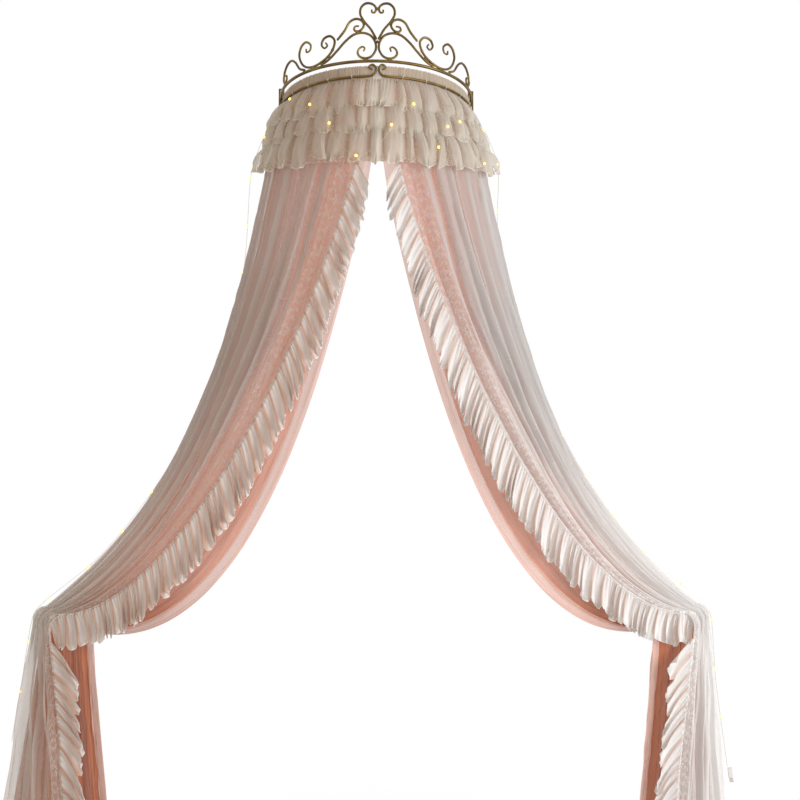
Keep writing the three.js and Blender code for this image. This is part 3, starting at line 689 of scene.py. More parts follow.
# Crown frame: outlines as shares of the quarter ring from the front and of the crown's height above the rail
OUTLINES = {
    "heart": [
        (0.0085, 0.388), (0.042, 0.552), (0.083, 0.692), (0.106, 0.82), (0.1, 0.93), (0.072, 0.995),
        (0.038, 0.99), (0.014, 0.94), (0.0095, 0.885), (0.018, 0.838), (0.034, 0.842), (0.035, 0.878),
    ],
    "main_scroll": [
        (0.083, 0.18), (0.078, 0.225), (0.092, 0.25), (0.114, 0.212), (0.121, 0.14), (0.104, 0.075),
        (0.072, 0.049), (0.036, 0.082), (0.0115, 0.185), (0.0085, 0.256), (0.016, 0.343), (0.041, 0.437),
        (0.087, 0.488), (0.144, 0.47), (0.2, 0.366), (0.25, 0.235), (0.3, 0.12), (0.335, 0.068),
        (0.366, 0.049),
    ],
    "lyre_scroll": [
        (0.333, 0.4), (0.322, 0.35), (0.342, 0.315), (0.364, 0.385), (0.348, 0.482), (0.304, 0.505),
        (0.272, 0.418), (0.278, 0.295), (0.306, 0.185), (0.356, 0.095), (0.43, 0.049), (0.492, 0.088),
        (0.536, 0.19), (0.561, 0.355), (0.54, 0.488), (0.495, 0.53), (0.452, 0.44), (0.46, 0.355),
        (0.49, 0.35), (0.493, 0.4),
    ],
    "s_scroll": [
        (0.117, 0.612), (0.138, 0.605), (0.144, 0.555), (0.125, 0.518), (0.1, 0.542), (0.0835, 0.622),
        (0.098, 0.703), (0.132, 0.738), (0.17, 0.698), (0.206, 0.55), (0.25, 0.42),
    ],
    "side_scroll": [
        (0.508, 0.049), (0.556, 0.11), (0.603, 0.26), (0.655, 0.345), (0.722, 0.335), (0.782, 0.245),
        (0.8, 0.128), (0.77, 0.05), (0.735, 0.08), (0.733, 0.155), (0.755, 0.17),
    ],
}
# The lower wires use the band's height, down from the rail
LOWER_WIRE = [
    (0.034, -0.55), (0.051, -0.43), (0.043, -0.28), (0.026, -0.25), (0.012, -0.4), (0.01, -0.66),
    (0.03, -0.93), (0.076, -1),
]
# Ends of each outline that are free curls and taper
FREE_ENDS = {
    "heart": (0, 1), "main_scroll": (1, 0), "lyre_scroll": (1, 1), "s_scroll": (1, 0), "side_scroll": (0, 1),
}
# Where curls are welded to the rail or to each other: share of the quarter ring, share of the height
RAIL_WELDS = [(0.072, 0.03), (0.36, 0.034), (0.43, 0.03), (0.51, 0.034), (0.77, 0.03)]
HEART_WELDS = [(0.0, 0.33), (0.0, 0.90)]
SCROLL_WELDS = {"s_scroll": [(0.118, 0.5)], "lyre_scroll": [(0.285, 0.255), (0.31, 0.145)]}
WELD_BEAD = ball_profile(0.0047, 0.86)
RAIL_POINTS, SCROLL_STEP_POINTS, WIRE_POINTS = 220, 30, 260
RAIL_SIDES, SCROLL_SIDES = 16, 12
LOWER_WIRE_START = 0.14
WALL_CLEAR = math.asin((STEEL_THICKNESS + WELD_GAP) / RING_RADIUS)


def outline_points(shares, side, height=CROWN_HEIGHT):
    along, up = np.reshape(shares, (-1, 2)).T
    return ring_point(side * along * QUARTER, RING_RADIUS, RAIL_LEVEL + up * height)


def taper(count, free_ends, reach=0.16):
    """Radius shares along a rod: down to 0.72 over the last reach of its length at each free end."""
    along = np.linspace(0, 1, count)
    start, end = (lerp(0.72, 1, ease(place / reach)) for place in (along, 1 - along))
    return (start if free_ends[0] else 1) * (end if free_ends[1] else 1) * np.ones(count)


def hammered(path, radius, seed):
    """A rod's radius with faint unevenness from the hammer, a few percent over centimetres."""
    return radius * (1 + 0.02 * wander(path_lengths(path) * 14, seed, 4, 0.8))


def outward(path):
    return unit(path * (1, 1, 0))


def build_rod(name, node, path, radii, sides, welds=()):
    """A rod of the crown, with a bead of weld at each of the places."""
    shape = add_rod(Shape(), path, radii, sides, outward(path))
    for place in welds:
        add_turned(shape, WELD_BEAD, place, outward(place), 12)
    shape.build(name, node, BRONZE)


def build_crown():
    angles = np.linspace(WALL_CLEAR - QUARTER, QUARTER - WALL_CLEAR, RAIL_POINTS)
    rail = ring_point(angles, RING_RADIUS, RAIL_LEVEL)
    welds = joined(*(outline_points(RAIL_WELDS, side) for side in SIDES.values()))
    build_rod("rail_rod", "top_rail", rail, hammered(rail, RAIL_ROD / 2, 3), RAIL_SIDES, welds)
    for number, (name, shares) in enumerate(OUTLINES.items()):
        for hand, side in SIDES.items():
            count = SCROLL_STEP_POINTS * len(shares)
            path = smooth_path(outline_points(shares, side), count)
            radii = hammered(path, SCROLL_ROD / 2, 10 + number) * taper(count, FREE_ENDS[name])
            welds = HEART_WELDS if name == "heart" and side > 0 else SCROLL_WELDS.get(name, [])
            welds = outline_points(welds, side)
            build_rod(f"{name}_rod_{hand}", f"{name}_{hand}", path, radii, SCROLL_SIDES, welds)
    for hand, side in SIDES.items():
        curl = outline_points(LOWER_WIRE, side, BAND_HEIGHT)
        angles = side * np.linspace(LOWER_WIRE_START * QUARTER, QUARTER - WALL_CLEAR, 13)
        path = smooth_path(joined(curl, ring_point(angles, RING_RADIUS, WIRE_LEVEL)), WIRE_POINTS)
        radii = hammered(path, SCROLL_ROD / 2, 31) * taper(WIRE_POINTS, (1, 0), reach=0.07)
        build_rod(f"lower_ring_{hand}", f"lower_wire_{hand}", path, radii, SCROLL_SIDES)


# Steel at the wall
SCREW_RADIUS = 0.004
SCREW_HEAD = 0.0026
SCREW_SHANK = 0.002
SCREW_LENGTH = 0.030


def bevelled(node, name, finish, width):
    """The named node's own mesh, merged, with its edges broken by a small bevel."""
    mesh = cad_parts[node].data.copy()
    mesh.name = name
    mesh.materials.clear()
    shell = bmesh.new()
    shell.from_mesh(mesh)
    bmesh.ops.remove_doubles(shell, verts=shell.verts, dist=1e-6)
    bmesh.ops.dissolve_limit(shell, angle_limit=math.radians(1), verts=shell.verts, edges=shell.edges)
    shell.to_mesh(mesh)
    shell.free()
    shade(mesh, 50)
    bevel = place_piece(name, mesh, node, finish).modifiers.new("edges", "BEVEL")
    bevel.width, bevel.segments, bevel.limit_method = width, 2, "ANGLE"
    bevel.angle_limit = math.radians(35)


def add_screw(shape, x, y, z):
    """A wood screw: a domed head with a crossed slot, and a shank into the wall that ends in a point."""
    far = np.linspace(0, 1, 11)[1:, None]
    turn = round_angles(32)
    slot = np.minimum(abs(np.cos(turn)), abs(np.sin(turn))) * far * SCREW_RADIUS
    dome = 0.0011 * (slot < 0.0006) * (far < 0.62) - SCREW_HEAD * (1 - 0.45 * far**2.4)
    depths, radii = np.array([
        (SCREW_HEAD, SCREW_RADIUS), (SCREW_HEAD, SCREW_SHANK), (SCREW_LENGTH * 0.35, SCREW_SHANK),
        (SCREW_LENGTH * 0.9, SCREW_SHANK * 0.8), (SCREW_LENGTH, SCREW_SHANK * 0.1),
    ]).T[..., None]
    depths = joined(SCREW_HEAD + dome, depths + 0 * turn)
    radii = joined(far * SCREW_RADIUS, radii)
    rings = together(x + radii * np.cos(turn), y + depths, z + radii * np.sin(turn))
    return add_rings(shape, rings, [(x, y + depths[0, 0], z), (x, y + SCREW_LENGTH, z)])


def build_screws():
    for node in [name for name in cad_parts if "screw" in name]:
        low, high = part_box(node)
        shape = add_screw(Shape(), (low.x + high.x) / 2, low.y, (low.z + high.z) / 2)
        shape.build(node.replace("screw", "wood_screw"), node, STEEL, sharp=35)


def build_turned(name, node, profile):
    """A form turned about the node's own axis; profile takes its length and radius."""
    low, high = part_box(node)
    place = ((low.x + high.x) / 2, high.y, (low.z + high.z) / 2)
    shape = add_turned(Shape(), profile(high.y - low.y, (high.x - low.x) / 2), place, (0, -1, 0), 28)
    shape.build(name, node, BRONZE)


def stem_profile(length, radius):
    return [
        (0, radius * 0.9), (0.0006, radius), (length * 0.12, radius), (length * 0.2, radius * 0.8),
        (length * 0.5, radius * 0.74), (length * 0.84, radius * 0.8), (length * 0.92, radius),
        (length - 0.0006, radius), (length, radius * 0.9),
    ]


def knob_profile(length, radius):
    turn = np.linspace(0, math.pi, 12)
    return np.stack([
        length * (0.5 - 0.5 * np.cos(turn)), radius * (0.62 + 0.38 * np.sin(turn)**0.7),
    ], axis=1)


def build_wall_steel():
    bevelled("back_bar", "wall_bar", BRONZE, 0.0006)
    for hand in SIDES:
        bevelled(f"wall_plate_{hand}", f"end_plate_{hand}", BRONZE, 0.0006)
        bevelled(f"hook_plate_{hand}", f"hook_disc_{hand}", BRONZE, 0.0009)
        build_turned(f"hook_stem_{hand}", f"hook_rod_{hand}", stem_profile)
        build_turned(f"hook_end_{hand}", f"hook_knob_{hand}", knob_profile)


# Heading tape and valance
def gathers(count, samples, seed, spread=0.3, shares=1):
    """Irregular gathers side by side.

    Returns for each sample its share along the strip, its phase in its own gather, from 0 to 1, and the
    gather's number. shares are the gathers' mean widths.
    """
    rng = np.random.default_rng(seed)
    widths = rng.uniform(1 - spread, 1 + spread, count) * shares
    edges = joined([0], np.cumsum(widths)) / widths.sum()
    phase = np.arange(samples) / samples
    along = edges[:-1, None] + np.diff(edges)[:, None] * phase
    numbers = np.repeat(np.arange(count), samples)
    return np.append(along, 1), np.append(np.tile(phase, count), 0), np.append(numbers, count - 1)


def gather_values(seed, number, *ranges):
    """For each range, a seeded value for every gather, read by the samples' gather numbers."""
    rng = np.random.default_rng(seed)
    return [rng.uniform(low, high, number.max() + 1)[number] for low, high in ranges]


def band_angles(along):
    return lerp(-CLOTH_SWEEP, CLOTH_SWEEP, along)


def valance_place(share, angle):
    """Radius and level of the base cloth at a share of its drop, which is shorter towards the wall."""
    drop = WALL_DROP_SHARE + (1 - WALL_DROP_SHARE) * np.maximum(np.cos(angle), 0)**WALL_DROP_POWER
    return BASE_TOP_RADIUS + share * VALANCE_SPREAD, VALANCE_TOP - share * VALANCE_DROP * drop


def add_loop(shape, path, spokes):
    """A closed ring of cord: circles across the path, each measured from its outward spoke."""
    run = unit(np.roll(path, -1, axis=0) - np.roll(path, 1, axis=0))
    rings = rings_round(path, run, spokes, TIE_CORD / 2, 8)
    at = np.arange(rings[..., 0].size).reshape(rings.shape[:2])
    ahead, after = np.roll(at, -1, axis=0), np.roll(at, -1, axis=1)
    return shape.add(rings, quads(at, ahead, np.roll(ahead, -1, axis=1), after), paint=1)


def build_tape():
    """The tape stands at its radius, pleated by a sine of about 1 mm with seeded steps. Each tie is a ring of
    cord round the lower wire, with a flat knot inside the tape."""
    along, phase, number = gathers(TAPE_GATHERS, TAPE_SAMPLES, 41, 0.6)
    down = column(TAPE_ROWS)
    pleat = gather_values(42, number, (0.2, 1.3))[0] * wave(phase)
    radius = TAPE_RADIUS + 0.0011 * pleat * (0.6 + 0.4 * np.cos(2 * TURN * down))
    level = lerp(TAPE_TOP, HEAD_END_LEVEL, down) + 0.0008 * pleat * (1 - 2 * down)
    grid = ring_point(band_angles(along), radius, level)
    flats = together(along * 1.5, down * (TAPE_TOP - HEAD_END_LEVEL))
    shape = add_sheet(Shape(), grid, flats, TAPE_CLOTH)
    turn = round_angles(24)[:, None]
    for angle in np.arange(1, TIE_COUNT + 1) * TIE_SPACING:
        for side in SIDES.values():
            centre = ring_point(side * angle, RING_RADIUS, WIRE_LEVEL)
            away = outward(centre)
            spokes = away * np.cos(turn) + np.array([0, 0, 1]) * np.sin(turn)
            add_loop(shape, centre + spokes * TIE_RADIUS, spokes)
            knot = centre + away * (TIE_RADIUS + 0.0004) + (0, 0, 0.001)
            add_turned(shape, ball_profile(TIE_KNOT, 0.8), knot, (0, 0, 1), 10, paint=1)
    piece = shape.build("gathered_tape", "heading_tape", TAPE, CORD)


def build_base():
    """The valance's base cloth widens evenly to its foot in about sixty soft gathers up to 4 mm deep."""
    along, phase, number = gathers(LINING_GATHERS, LINING_SAMPLES, 51)
    share = column(LINING_ROWS)
    angle = band_angles(along)
    radius, level = valance_place(share, angle)
    fold = (0.0008 + 0.0024 * share) * gather_values(52, number, (0.5, 1.2))[0] * wave(phase)
    grid = ring_point(angle, radius + fold, level)
    flats = strip_flats(along, LINING_SAMPLES, LINING_PLEAT, (1 - share) * VALANCE_DROP)
    size = (1.10, VALANCE_DROP)
    build_sheet("valance_lining", "valance_base", grid, flats, LINING, size, "hung", ["gathered_tape"])


TIER_NODES = ("valance_tier_top", "valance_tier_middle", "valance_tier_bottom")


def build_tier(tier, node):
    """A ruffled tier of petals.

    Down the tier the cloth leaves the base by its stand-off times sin^1.2, and each petal swells by its own
    gain times sin^0.6 of its phase, round outside and sharp between. Petals lean aside and hang lower at
    their middle, so that they overlap and leave a scalloped edge.
    """
    along, phase, number = gathers(TIER_PETALS, TIER_SAMPLES, 60 + tier, 0.5)
    gain, lean, hang, sink = gather_values(70 + tier, number, (0.55, 1.3), (-1.3, 1.3), (0.2, 1.3), (-1, 1))
    down = column(TIER_ROWS)
    lobe = arch(phase)
    swell, skirt = lobe**0.6, lobe**0.55
    share = lerp(TIER_TOP_SHARES[tier], TIER_BOTTOM_SHARES[tier], down)
    second = wave(phase) * wander(along * 9, 80 + tier)
    aside = 2 * CLOTH_SWEEP / TIER_PETALS * down**1.2 * (0.40 * lean * lobe + 0.12 * second)
    angle = band_angles(along) + aside
    radius, level = valance_place(share, np.clip(angle, -QUARTER, QUARTER))
    rise = np.sin(down * QUARTER)
    depth = 0.002 + 0.021 * rise**0.9
    creases = 0.0019 * np.sin(TURN * phase * 5 + number) * np.exp(-down * 3)
    creases = creases + 0.0013 * np.sin(TURN * phase * 2 + 3 * number) * down
    bulge = 0.009 * arch(down**0.8)**2 * swell * gain
    radius = radius + TIER_SEAT + rise**1.2 * TIER_STAND_OFF[tier] + depth * (gain * swell - 0.5)
    radius = radius + creases + bulge - 0.010 * ease((down - 0.6) / 0.4) * lobe
    level = level - 0.016 * hang * skirt * down**2 + (0.013 * (1 - skirt) + 0.007 * sink + 0.004) * down**3
    flare = 0.006 * ease((down - 0.7) / 0.3) * wander(along * 40, 90 + tier, 4)
    length = (TIER_BOTTOM_SHARES[tier] - TIER_TOP_SHARES[tier]) * VALANCE_DROP
    flats = strip_flats(along, TIER_SAMPLES, TIER_PLEAT, (1 - down) * length)
    grid = ring_point(angle, radius + flare, level)
    build_sheet(f"{node}_ruffle", node, grid, flats, CHIFFON, (1.40, length), "gathered", ["valance_lining"])


# Drapes: lines of cloth from the heading, out under the valance, aside to the hook and down to the hem.
# front is 0 at the wall edge and 1 at the front edge. A hook line holds, at its front shares, the reach
# beside the drapes' reach, the depth from the wall and the level.
HEAD_RADIUS = TAPE_RADIUS - (TAPE_THICKNESS + 0.0016) / 2 - 0.0006
OUTER = {
    "front_angle": math.radians(8.5), "head_radius": HEAD_RADIUS, "inset": 0,
    "depths": {"top": 0.0006, "sweep_top": 0.007, "sweep": 0.013, "hook": 0.005, "hem": 0.013},
    "front_powers": (1.667, 1.14),
    "hook": ((0, 1), (0, -0.080), (0.030, 0.135), (-1.560, -1.576)), "bend_radius": 0.034,
    "hem_wall": {"left": 1.125, "right": 1.062}, "hem_front": {"left": 0.862, "right": 0.850},
    "hem_depths": (0.032, 0.128), "folds": 8, "warp": 0.35, "seeds": {"left": 100, "right": 140},
}
INNER = {
    "front_angle": math.radians(2.5), "head_radius": HEAD_RADIUS - 0.0022, "inset": 0.024,
    "depths": {"top": 0.0004, "sweep_top": 0.004, "sweep": 0.006, "hook": 0.003, "hem": 0.008},
    "front_powers": (1.54, 1),
    "hook": (
        (0, 0.55, 1), (-0.016, -0.030, -0.178), (0.022, 0.072, 0.112), (-1.574, -1.585, -1.622),
    ), "bend_radius": 0.015,
    "hem_wall": {"left": 1.098, "right": 1.036}, "hem_front": {"left": 0.742, "right": 0.752},
    "hem_depths": (0.018, 0.096), "folds": 7, "warp": 0.25, "seeds": {"left": 180, "right": 220},
}
WALL_LINE_SHARE = 0.42
WALL_LINE_POWER = 3.6
HEAD_ROWS, NECK_ROWS, SWEEP_ROWS, BEND_ROWS, FALL_ROWS = 4, 20, 104, 14, 70
SWEEP_START = HEAD_ROWS + NECK_ROWS
HOOK_ROW = SWEEP_START + SWEEP_ROWS
FALL_START = HOOK_ROW + BEND_ROWS
DRAPE_ROWS = FALL_START + FALL_ROWS + 1
LACE_ACROSS, LACE_COLUMNS, LACE_CUT = 0.80, 206, (0.54, 2.62)
VOILE_ACROSS, VOILE_COLUMNS, VOILE_CUT = 0.76, 150, (0.50, 2.60)
VOILE_SAG = 0.040


def section(rows):
    """Shares from just after 0 to 1, as a column."""
    return np.linspace(0, 1, rows + 1)[1:, None]


def drape_base(layer, hand, front):
    """Smooth cloth without folds.

    The head stands on the head radius, the neck widens to the sweep's top circle. Over the sweep's share s
    a wall line goes aside by 0.42 s + 0.58 s^3.6 and down by s, and a front line aside by 1 - cos^p and down
    by sin^q of s quarter turns; lines between are mixed by front. A quarter bend leads over the hook, and
    straight lines run to the hem.
    """
    side = SIDES[hand]
    angle = side * lerp(CLOTH_SWEEP, layer["front_angle"], front)
    head_level = lerp(TAPE_TOP, HEAD_END_LEVEL, column(HEAD_ROWS + 1))
    head = ring_point(angle, layer["head_radius"], head_level)
    neck = section(NECK_ROWS)
    widening = lerp(layer["head_radius"], SWEEP_TOP_RADIUS - layer["inset"], 0.7 * neck + 0.3 * ease(neck))
    necks = ring_point(angle, widening, lerp(HEAD_END_LEVEL, SWEEP_TOP_LEVEL, neck))
    share = section(SWEEP_ROWS)
    turn = share * QUARTER
    down_power, aside_power = layer["front_powers"]
    wall_aside = WALL_LINE_SHARE * share + (1 - WALL_LINE_SHARE) * share**WALL_LINE_POWER
    aside = lerp(wall_aside, 1 - np.maximum(np.cos(turn), 0)**aside_power, front)
    down = lerp(share, np.sin(turn)**down_power, front)
    reach, depth, level = (np.interp(front, layer["hook"][0], values) for values in layer["hook"][1:])
    hook = together(side * (DRAPE_REACH + reach), -depth, level)
    sweep = necks[-1] + (hook - necks[-1]) * together(aside, aside, down)
    bend = section(BEND_ROWS) * QUARTER
    bends = hook + layer["bend_radius"] * together(side * np.sin(bend), 0, np.cos(bend) - 1)
    hem_aside = side * lerp(layer["hem_wall"][hand], layer["hem_front"][hand], front)
    hem = together(hem_aside, -lerp(*layer["hem_depths"], front), HEM_LEVEL)
    falls = lerp(bends[-1], hem, section(FALL_ROWS)[..., None])
    return joined(head, necks, sweep, bends, falls)


def fold_depths(depths):
    """Fold depth for each row: eased from section to section, deepest midway along the sweep."""
    share = section(SWEEP_ROWS)
    straight = lerp(depths["sweep_top"], depths["hook"], share)
    return joined(
        np.full((HEAD_ROWS + 1, 1), depths["top"]),
        lerp(depths["top"], depths["sweep_top"], section(NECK_ROWS)**1.5),
        lerp(straight, depths["sweep"], arch(share)**2),
        np.full((BEND_ROWS, 1), depths["hook"]),
        lerp(depths["hook"], depths["hem"], ease(section(FALL_ROWS) * 1.6)),
    )


def row_window(centre_row, reach):
    """1 at a row, eased to 0 at reach rows from it."""
    rows = np.arange(DRAPE_ROWS)[:, None]
    return ease(1 - abs(rows - centre_row) / reach)


def drape_grid(layer, hand, columns):
    """The base cloth with its folds.

    Fold k of n lies along a line of constant front, drawn aside by a seeded wave; its section is
    2 |cos|^0.9 - 1, round outside and sharp inside, times the row's depth and a seeded gain.
    Returns front, rows, seed, the base, its normal, the folds and the cloth's shift aside.
    """
    side, seed = SIDES[hand], layer["seeds"][hand]
    front = np.linspace(0, 1, columns)
    rows = column(DRAPE_ROWS)
    ends = arch(front)**0.5
    drift = 0.016 * wander(front * 2.0 + 0.15 * rows, seed) + 0.010 * wander(rows * 2.2 + front, seed + 1)
    phase = np.pi * layer["folds"] * (1 - front - ends * drift)
    crest = 2 * abs(np.cos(phase))**0.9 - 1
    gain = 0.85 + 0.35 * wander(front * 4 + 0.6 * rows, seed + 2)
    lateral = ends * layer["warp"] / (TURN * layer["folds"]) * np.sin(2 * phase)
    base = drape_base(layer, hand, front)
    across, down = np.gradient(base, axis=1), np.gradient(base, axis=0)
    fold = crest * gain * fold_depths(layer["depths"])
    shift = across * (columns - 1) * lateral[..., None]
    return front, rows, seed, base, side * unit(np.cross(across, down)), fold, shift


def crease_line(hand, number, rows):
    """Front share that a long crease keeps to, a little astray along the drape."""
    seed = OUTER["seeds"][hand] + 10 + number
    return 1 - LACE_FOLDS[number][0] / LACE_ACROSS + 0.02 * wander(rows * 1.6, seed)


def outer_grid(hand):
    """The lace: long creases cut in as bell curves with a softer shoulder, fine gathers towards the hook,
    a slight ripple, and broad waves in the fall."""
    front, rows, seed, base, normal, fold, shift = drape_grid(OUTER, hand, LACE_COLUMNS)
    away = 1 - row_window(0, SWEEP_START)
    for number, (_, half_width, _, depth) in enumerate(LACE_FOLDS):
        width = 0.75 * half_width / LACE_ACROSS
        beside = front - crease_line(hand, number, rows)
        dip = np.exp(-(beside / width)**2)
        shoulder = np.exp(-((beside - 2.5 * width) / (1.7 * width))**2)
        fold = fold - away * depth * (dip - 0.6 * shoulder)
    fine = wave(27 * front + 0.8 * wander(front * 3 + rows, seed + 20))
    ripple = wander(front * 13 + 2 * rows, seed + 21, 4) * wander(rows * 9 + front, seed + 22, 4)
    fold = fold + 0.0018 * row_window(HOOK_ROW, 55) * fine + 0.0022 * away * ripple
    low = ease((np.arange(DRAPE_ROWS)[:, None] - FALL_START) / 24)
    broad = 0.011 * wave(2.6 * front + 0.25 * wander(rows * 1.5, seed + 30))
    fold = lerp(fold, 0.4 * fold + broad, low) * lerp(0.55, 1, arch(front)**0.35)
    return base + normal * fold[..., None] + shift


def inner_grid(hand):
    """The voile: fine pleats and a ripple, and a front edge that sags midway along the sweep."""
    front, rows, seed, base, normal, fold, shift = drape_grid(INNER, hand, VOILE_COLUMNS)
    away = 1 - row_window(0, SWEEP_START)
    ripple = wander(front * 9 + 2 * rows, seed + 21, 4) * wander(rows * 7 + front, seed + 22, 4)
    pleats = wave(19 * front + 1.3 * wander(front * 4 + rows, seed + 23))
    pleats = pleats * (0.6 + 0.4 * wander(front * 5 + rows, seed + 24))
    fold = fold + away * (0.002 * ripple + 0.0028 * pleats)
    beyond = unit(base[:, -1] - base[:, -2])[:, None]
    sag = VOILE_SAG * row_window(SWEEP_START + 0.72 * SWEEP_ROWS, 0.5 * SWEEP_ROWS)
    return base + normal * fold[..., None] + shift + beyond * (sag * ease((front - 0.55) / 0.45))[..., None]


def drape_flats(grid, width):
    """Places on the flat cloth: across from the front edge, and along each line's own length."""
    return together(np.linspace(width, 0, grid.shape[1]), path_lengths(grid))


def lace_flats(grid, hand):
    """The same, with each long crease kept at its own place across."""
    flats = drape_flats(grid, LACE_ACROSS)
    front = np.linspace(0, 1, LACE_COLUMNS)
    order = range(len(LACE_FOLDS) - 1, -1, -1)
    lines = np.stack([crease_line(hand, i, np.linspace(0, 1, DRAPE_ROWS)) for i in order], axis=1)
    kept = [LACE_ACROSS, *(LACE_FOLDS[i][0] for i in order), 0]
    for row, places in enumerate(lines):
        flats[row, :, 0] = np.interp(front, [0, *places, 1], kept)
    return flats


def build_drapes():
    """Builds both layers on both sides, and returns the lace's front edges."""
    edges = {}
    for hand in SIDES:
        lace, voile = outer_grid(hand), inner_grid(hand)
        for name, node, *cloth in (
            ("lace_drape", "outer_drape", lace, lace_flats(lace, hand), LACE, LACE_CUT),
            ("voile_drape", "inner_drape", voile, drape_flats(voile, VOILE_ACROSS), VOILE, VOILE_CUT),
        ):
            names = f"{name}_{hand}", f"{node}_{hand}"
            build_sheet(*names, *cloth, "hung", [f"hook_stem_{hand}", "gathered_tape"], sharp=80)
        edges[hand] = lace[:, -1]
    return edges


# Ruffles on the front edges
SWEEP_RUFFLE_START = SWEEP_START + round(SWEEP_ROWS * 0.7 / 9)
FALL_RUFFLE_START = FALL_START + 3
HOOK_OVERLAP = 0.048
SWEEP_RUFFLE = {
    "length": 2.60, "pleats": 54, "seed": 300, "top_share": 0.62, "pitches": (1.3, 0.75), "slant": 1.1,
    "width_share": 1,
}
FALL_RUFFLE = {
    "length": 0.95, "pleats": 15, "seed": 320, "top_share": 1, "pitches": (1, 1), "slant": 1.3,
    "width_share": 0.74,
}


def edge_frames(edge, side):
    """Directions along a front edge: its run, aside in the ruffle's plane, and outward from it."""
    run = unit(np.gradient(edge, axis=0))
    aside = unit(-side * np.cross([side * 0.35, -1, 0], run))
    return run, aside, side * np.cross(run, aside)


def ruffle_grid(edge, side, ruffle):
    """A gathered strip along a front edge.

    From the seam the cloth runs aside and, the steeper the edge, down along it, so that the pleats hang.
    Fine gathers at the seam open into pleats, which swell out by their gain times sin^0.7 of their phase and
    fold over along the edge. Each ends in a lobe that is longest on its lower side, which makes the free
    edge stepped.
    """
    count, seed = ruffle["pleats"], ruffle["seed"] + side
    along, phase, number = gathers(count, FRILL_SAMPLES, seed, 0.6, np.linspace(*ruffle["pitches"], count))
    gain, lean, reach = gather_values(seed + 1, number[:, None], (0.5, 1.25), (-0.7, 1.6), (-1, 1))
    lengths = path_lengths(edge)
    places = along * lengths[-1]
    seam = read_line(edge, lengths, places)
    run, aside, out = (unit(read_line(v, lengths, places)) for v in edge_frames(edge, side))
    along, phase, number = (v[:, None] for v in (along, phase, number))
    ending = ease((1 - along) / 0.2)
    fall = aside + ruffle["slant"] * run * np.clip(-run[:, 2:], 0, 1)**1.5 * ending
    down = column(FRILL_ROWS)[:, None]
    swell = arch(phase**1.2)**0.7
    width = RUFFLE_WIDTH * ruffle["width_share"] * np.minimum(1, lerp(ruffle["top_share"], 1, along * 2))
    jag = 1 + down * (0.07 * (swell - 0.5) + 0.12 * (phase - 0.5) + 0.08 * reach * swell)
    depth = 0.0014 + 0.0175 * down**0.7
    stand = depth * (gain * swell - 0.42) + 0.006 * arch(down)
    creases = 0.0018 * np.sin(3 * TURN * phase + number) * np.exp(-down * 2.5)
    creases = creases + 0.0014 * np.sin(2 * TURN * phase + 2 * number) * arch(down)
    curl = 0.005 * ease((down - 0.7) / 0.3) * wander(along * count * 1.1, seed + 2, 4)
    grid = seam + fall * width * down * jag + out * (stand + creases + curl)
    grid = grid + run * (lengths[-1] / count) * ending * (0.5 * lean * swell * down**1.1)
    ripple = 0.0014 * np.sin(3 * TURN * phase + number)
    header = seam - aside * RUFFLE_HEADER + out * (0.0034 + ripple)
    lip = seam - aside * (RUFFLE_HEADER / 2) + out * (0.0042 + ripple)
    grid = joined(header[None], lip[None], grid)
    above = joined([0.095, 0.092], RUFFLE_WIDTH * (1 - down[:, 0, 0]))[:, None]
    return grid, strip_flats(along, FRILL_SAMPLES, FRILL_PLEAT, above)


def past_hook(edge):
    """The edge's last point carried straight on past the hook, sagging by a share of the distance squared."""
    run = unit(edge[-1] - edge[-2])
    ahead = np.linspace(0, 1, 9)[1:, None]
    return joined(edge, edge[-1] + run * HOOK_OVERLAP * ahead - (0, 0, 0.010) * ahead**2)


def build_ruffles(edges):
    for hand, side in SIDES.items():
        edge = edges[hand]
        for name, ruffle, line in (
            ("sweep", SWEEP_RUFFLE, past_hook(edge[SWEEP_RUFFLE_START:HOOK_ROW + 1])),
            ("fall", FALL_RUFFLE, edge[FALL_RUFFLE_START:]),
        ):
            names = f"{name}_frill_{hand}", f"{name}_ruffle_{hand}"
            flat = (ruffle["length"], RUFFLE_WIDTH + RUFFLE_HEADER)
            cloth = *ruffle_grid(line, side, ruffle), FRILL_CHIFFON, flat
            build_sheet(*names, *cloth, "gathered", [f"lace_drape_{hand}"], sharp=80)


# String of lights: up the left drape's wall edge, over the valance and down the right drape's edge.
# A place on the valance is (share of the way from front to wall, share of the drop).
VALANCE_ROUTE = [
    (-0.98, 1.05), (-0.92, 0.74), (-0.8, 0.46), (-0.68, 0.2), (-0.56, 0.08), (-0.44, 0.34), (-0.34, 0.2),
    (-0.22, 0.72), (-0.1, 0.96), (0.04, 0.74), (0.14, 0.24), (0.26, 0.5), (0.34, 0.94),
    (0.395, 0.52), (0.44, 0.24), (0.49, 0.44), (0.55, 0.72), (0.64, 0.92), (0.76, 0.4), (0.88, 0.56),
    (0.97, 0.86),
]
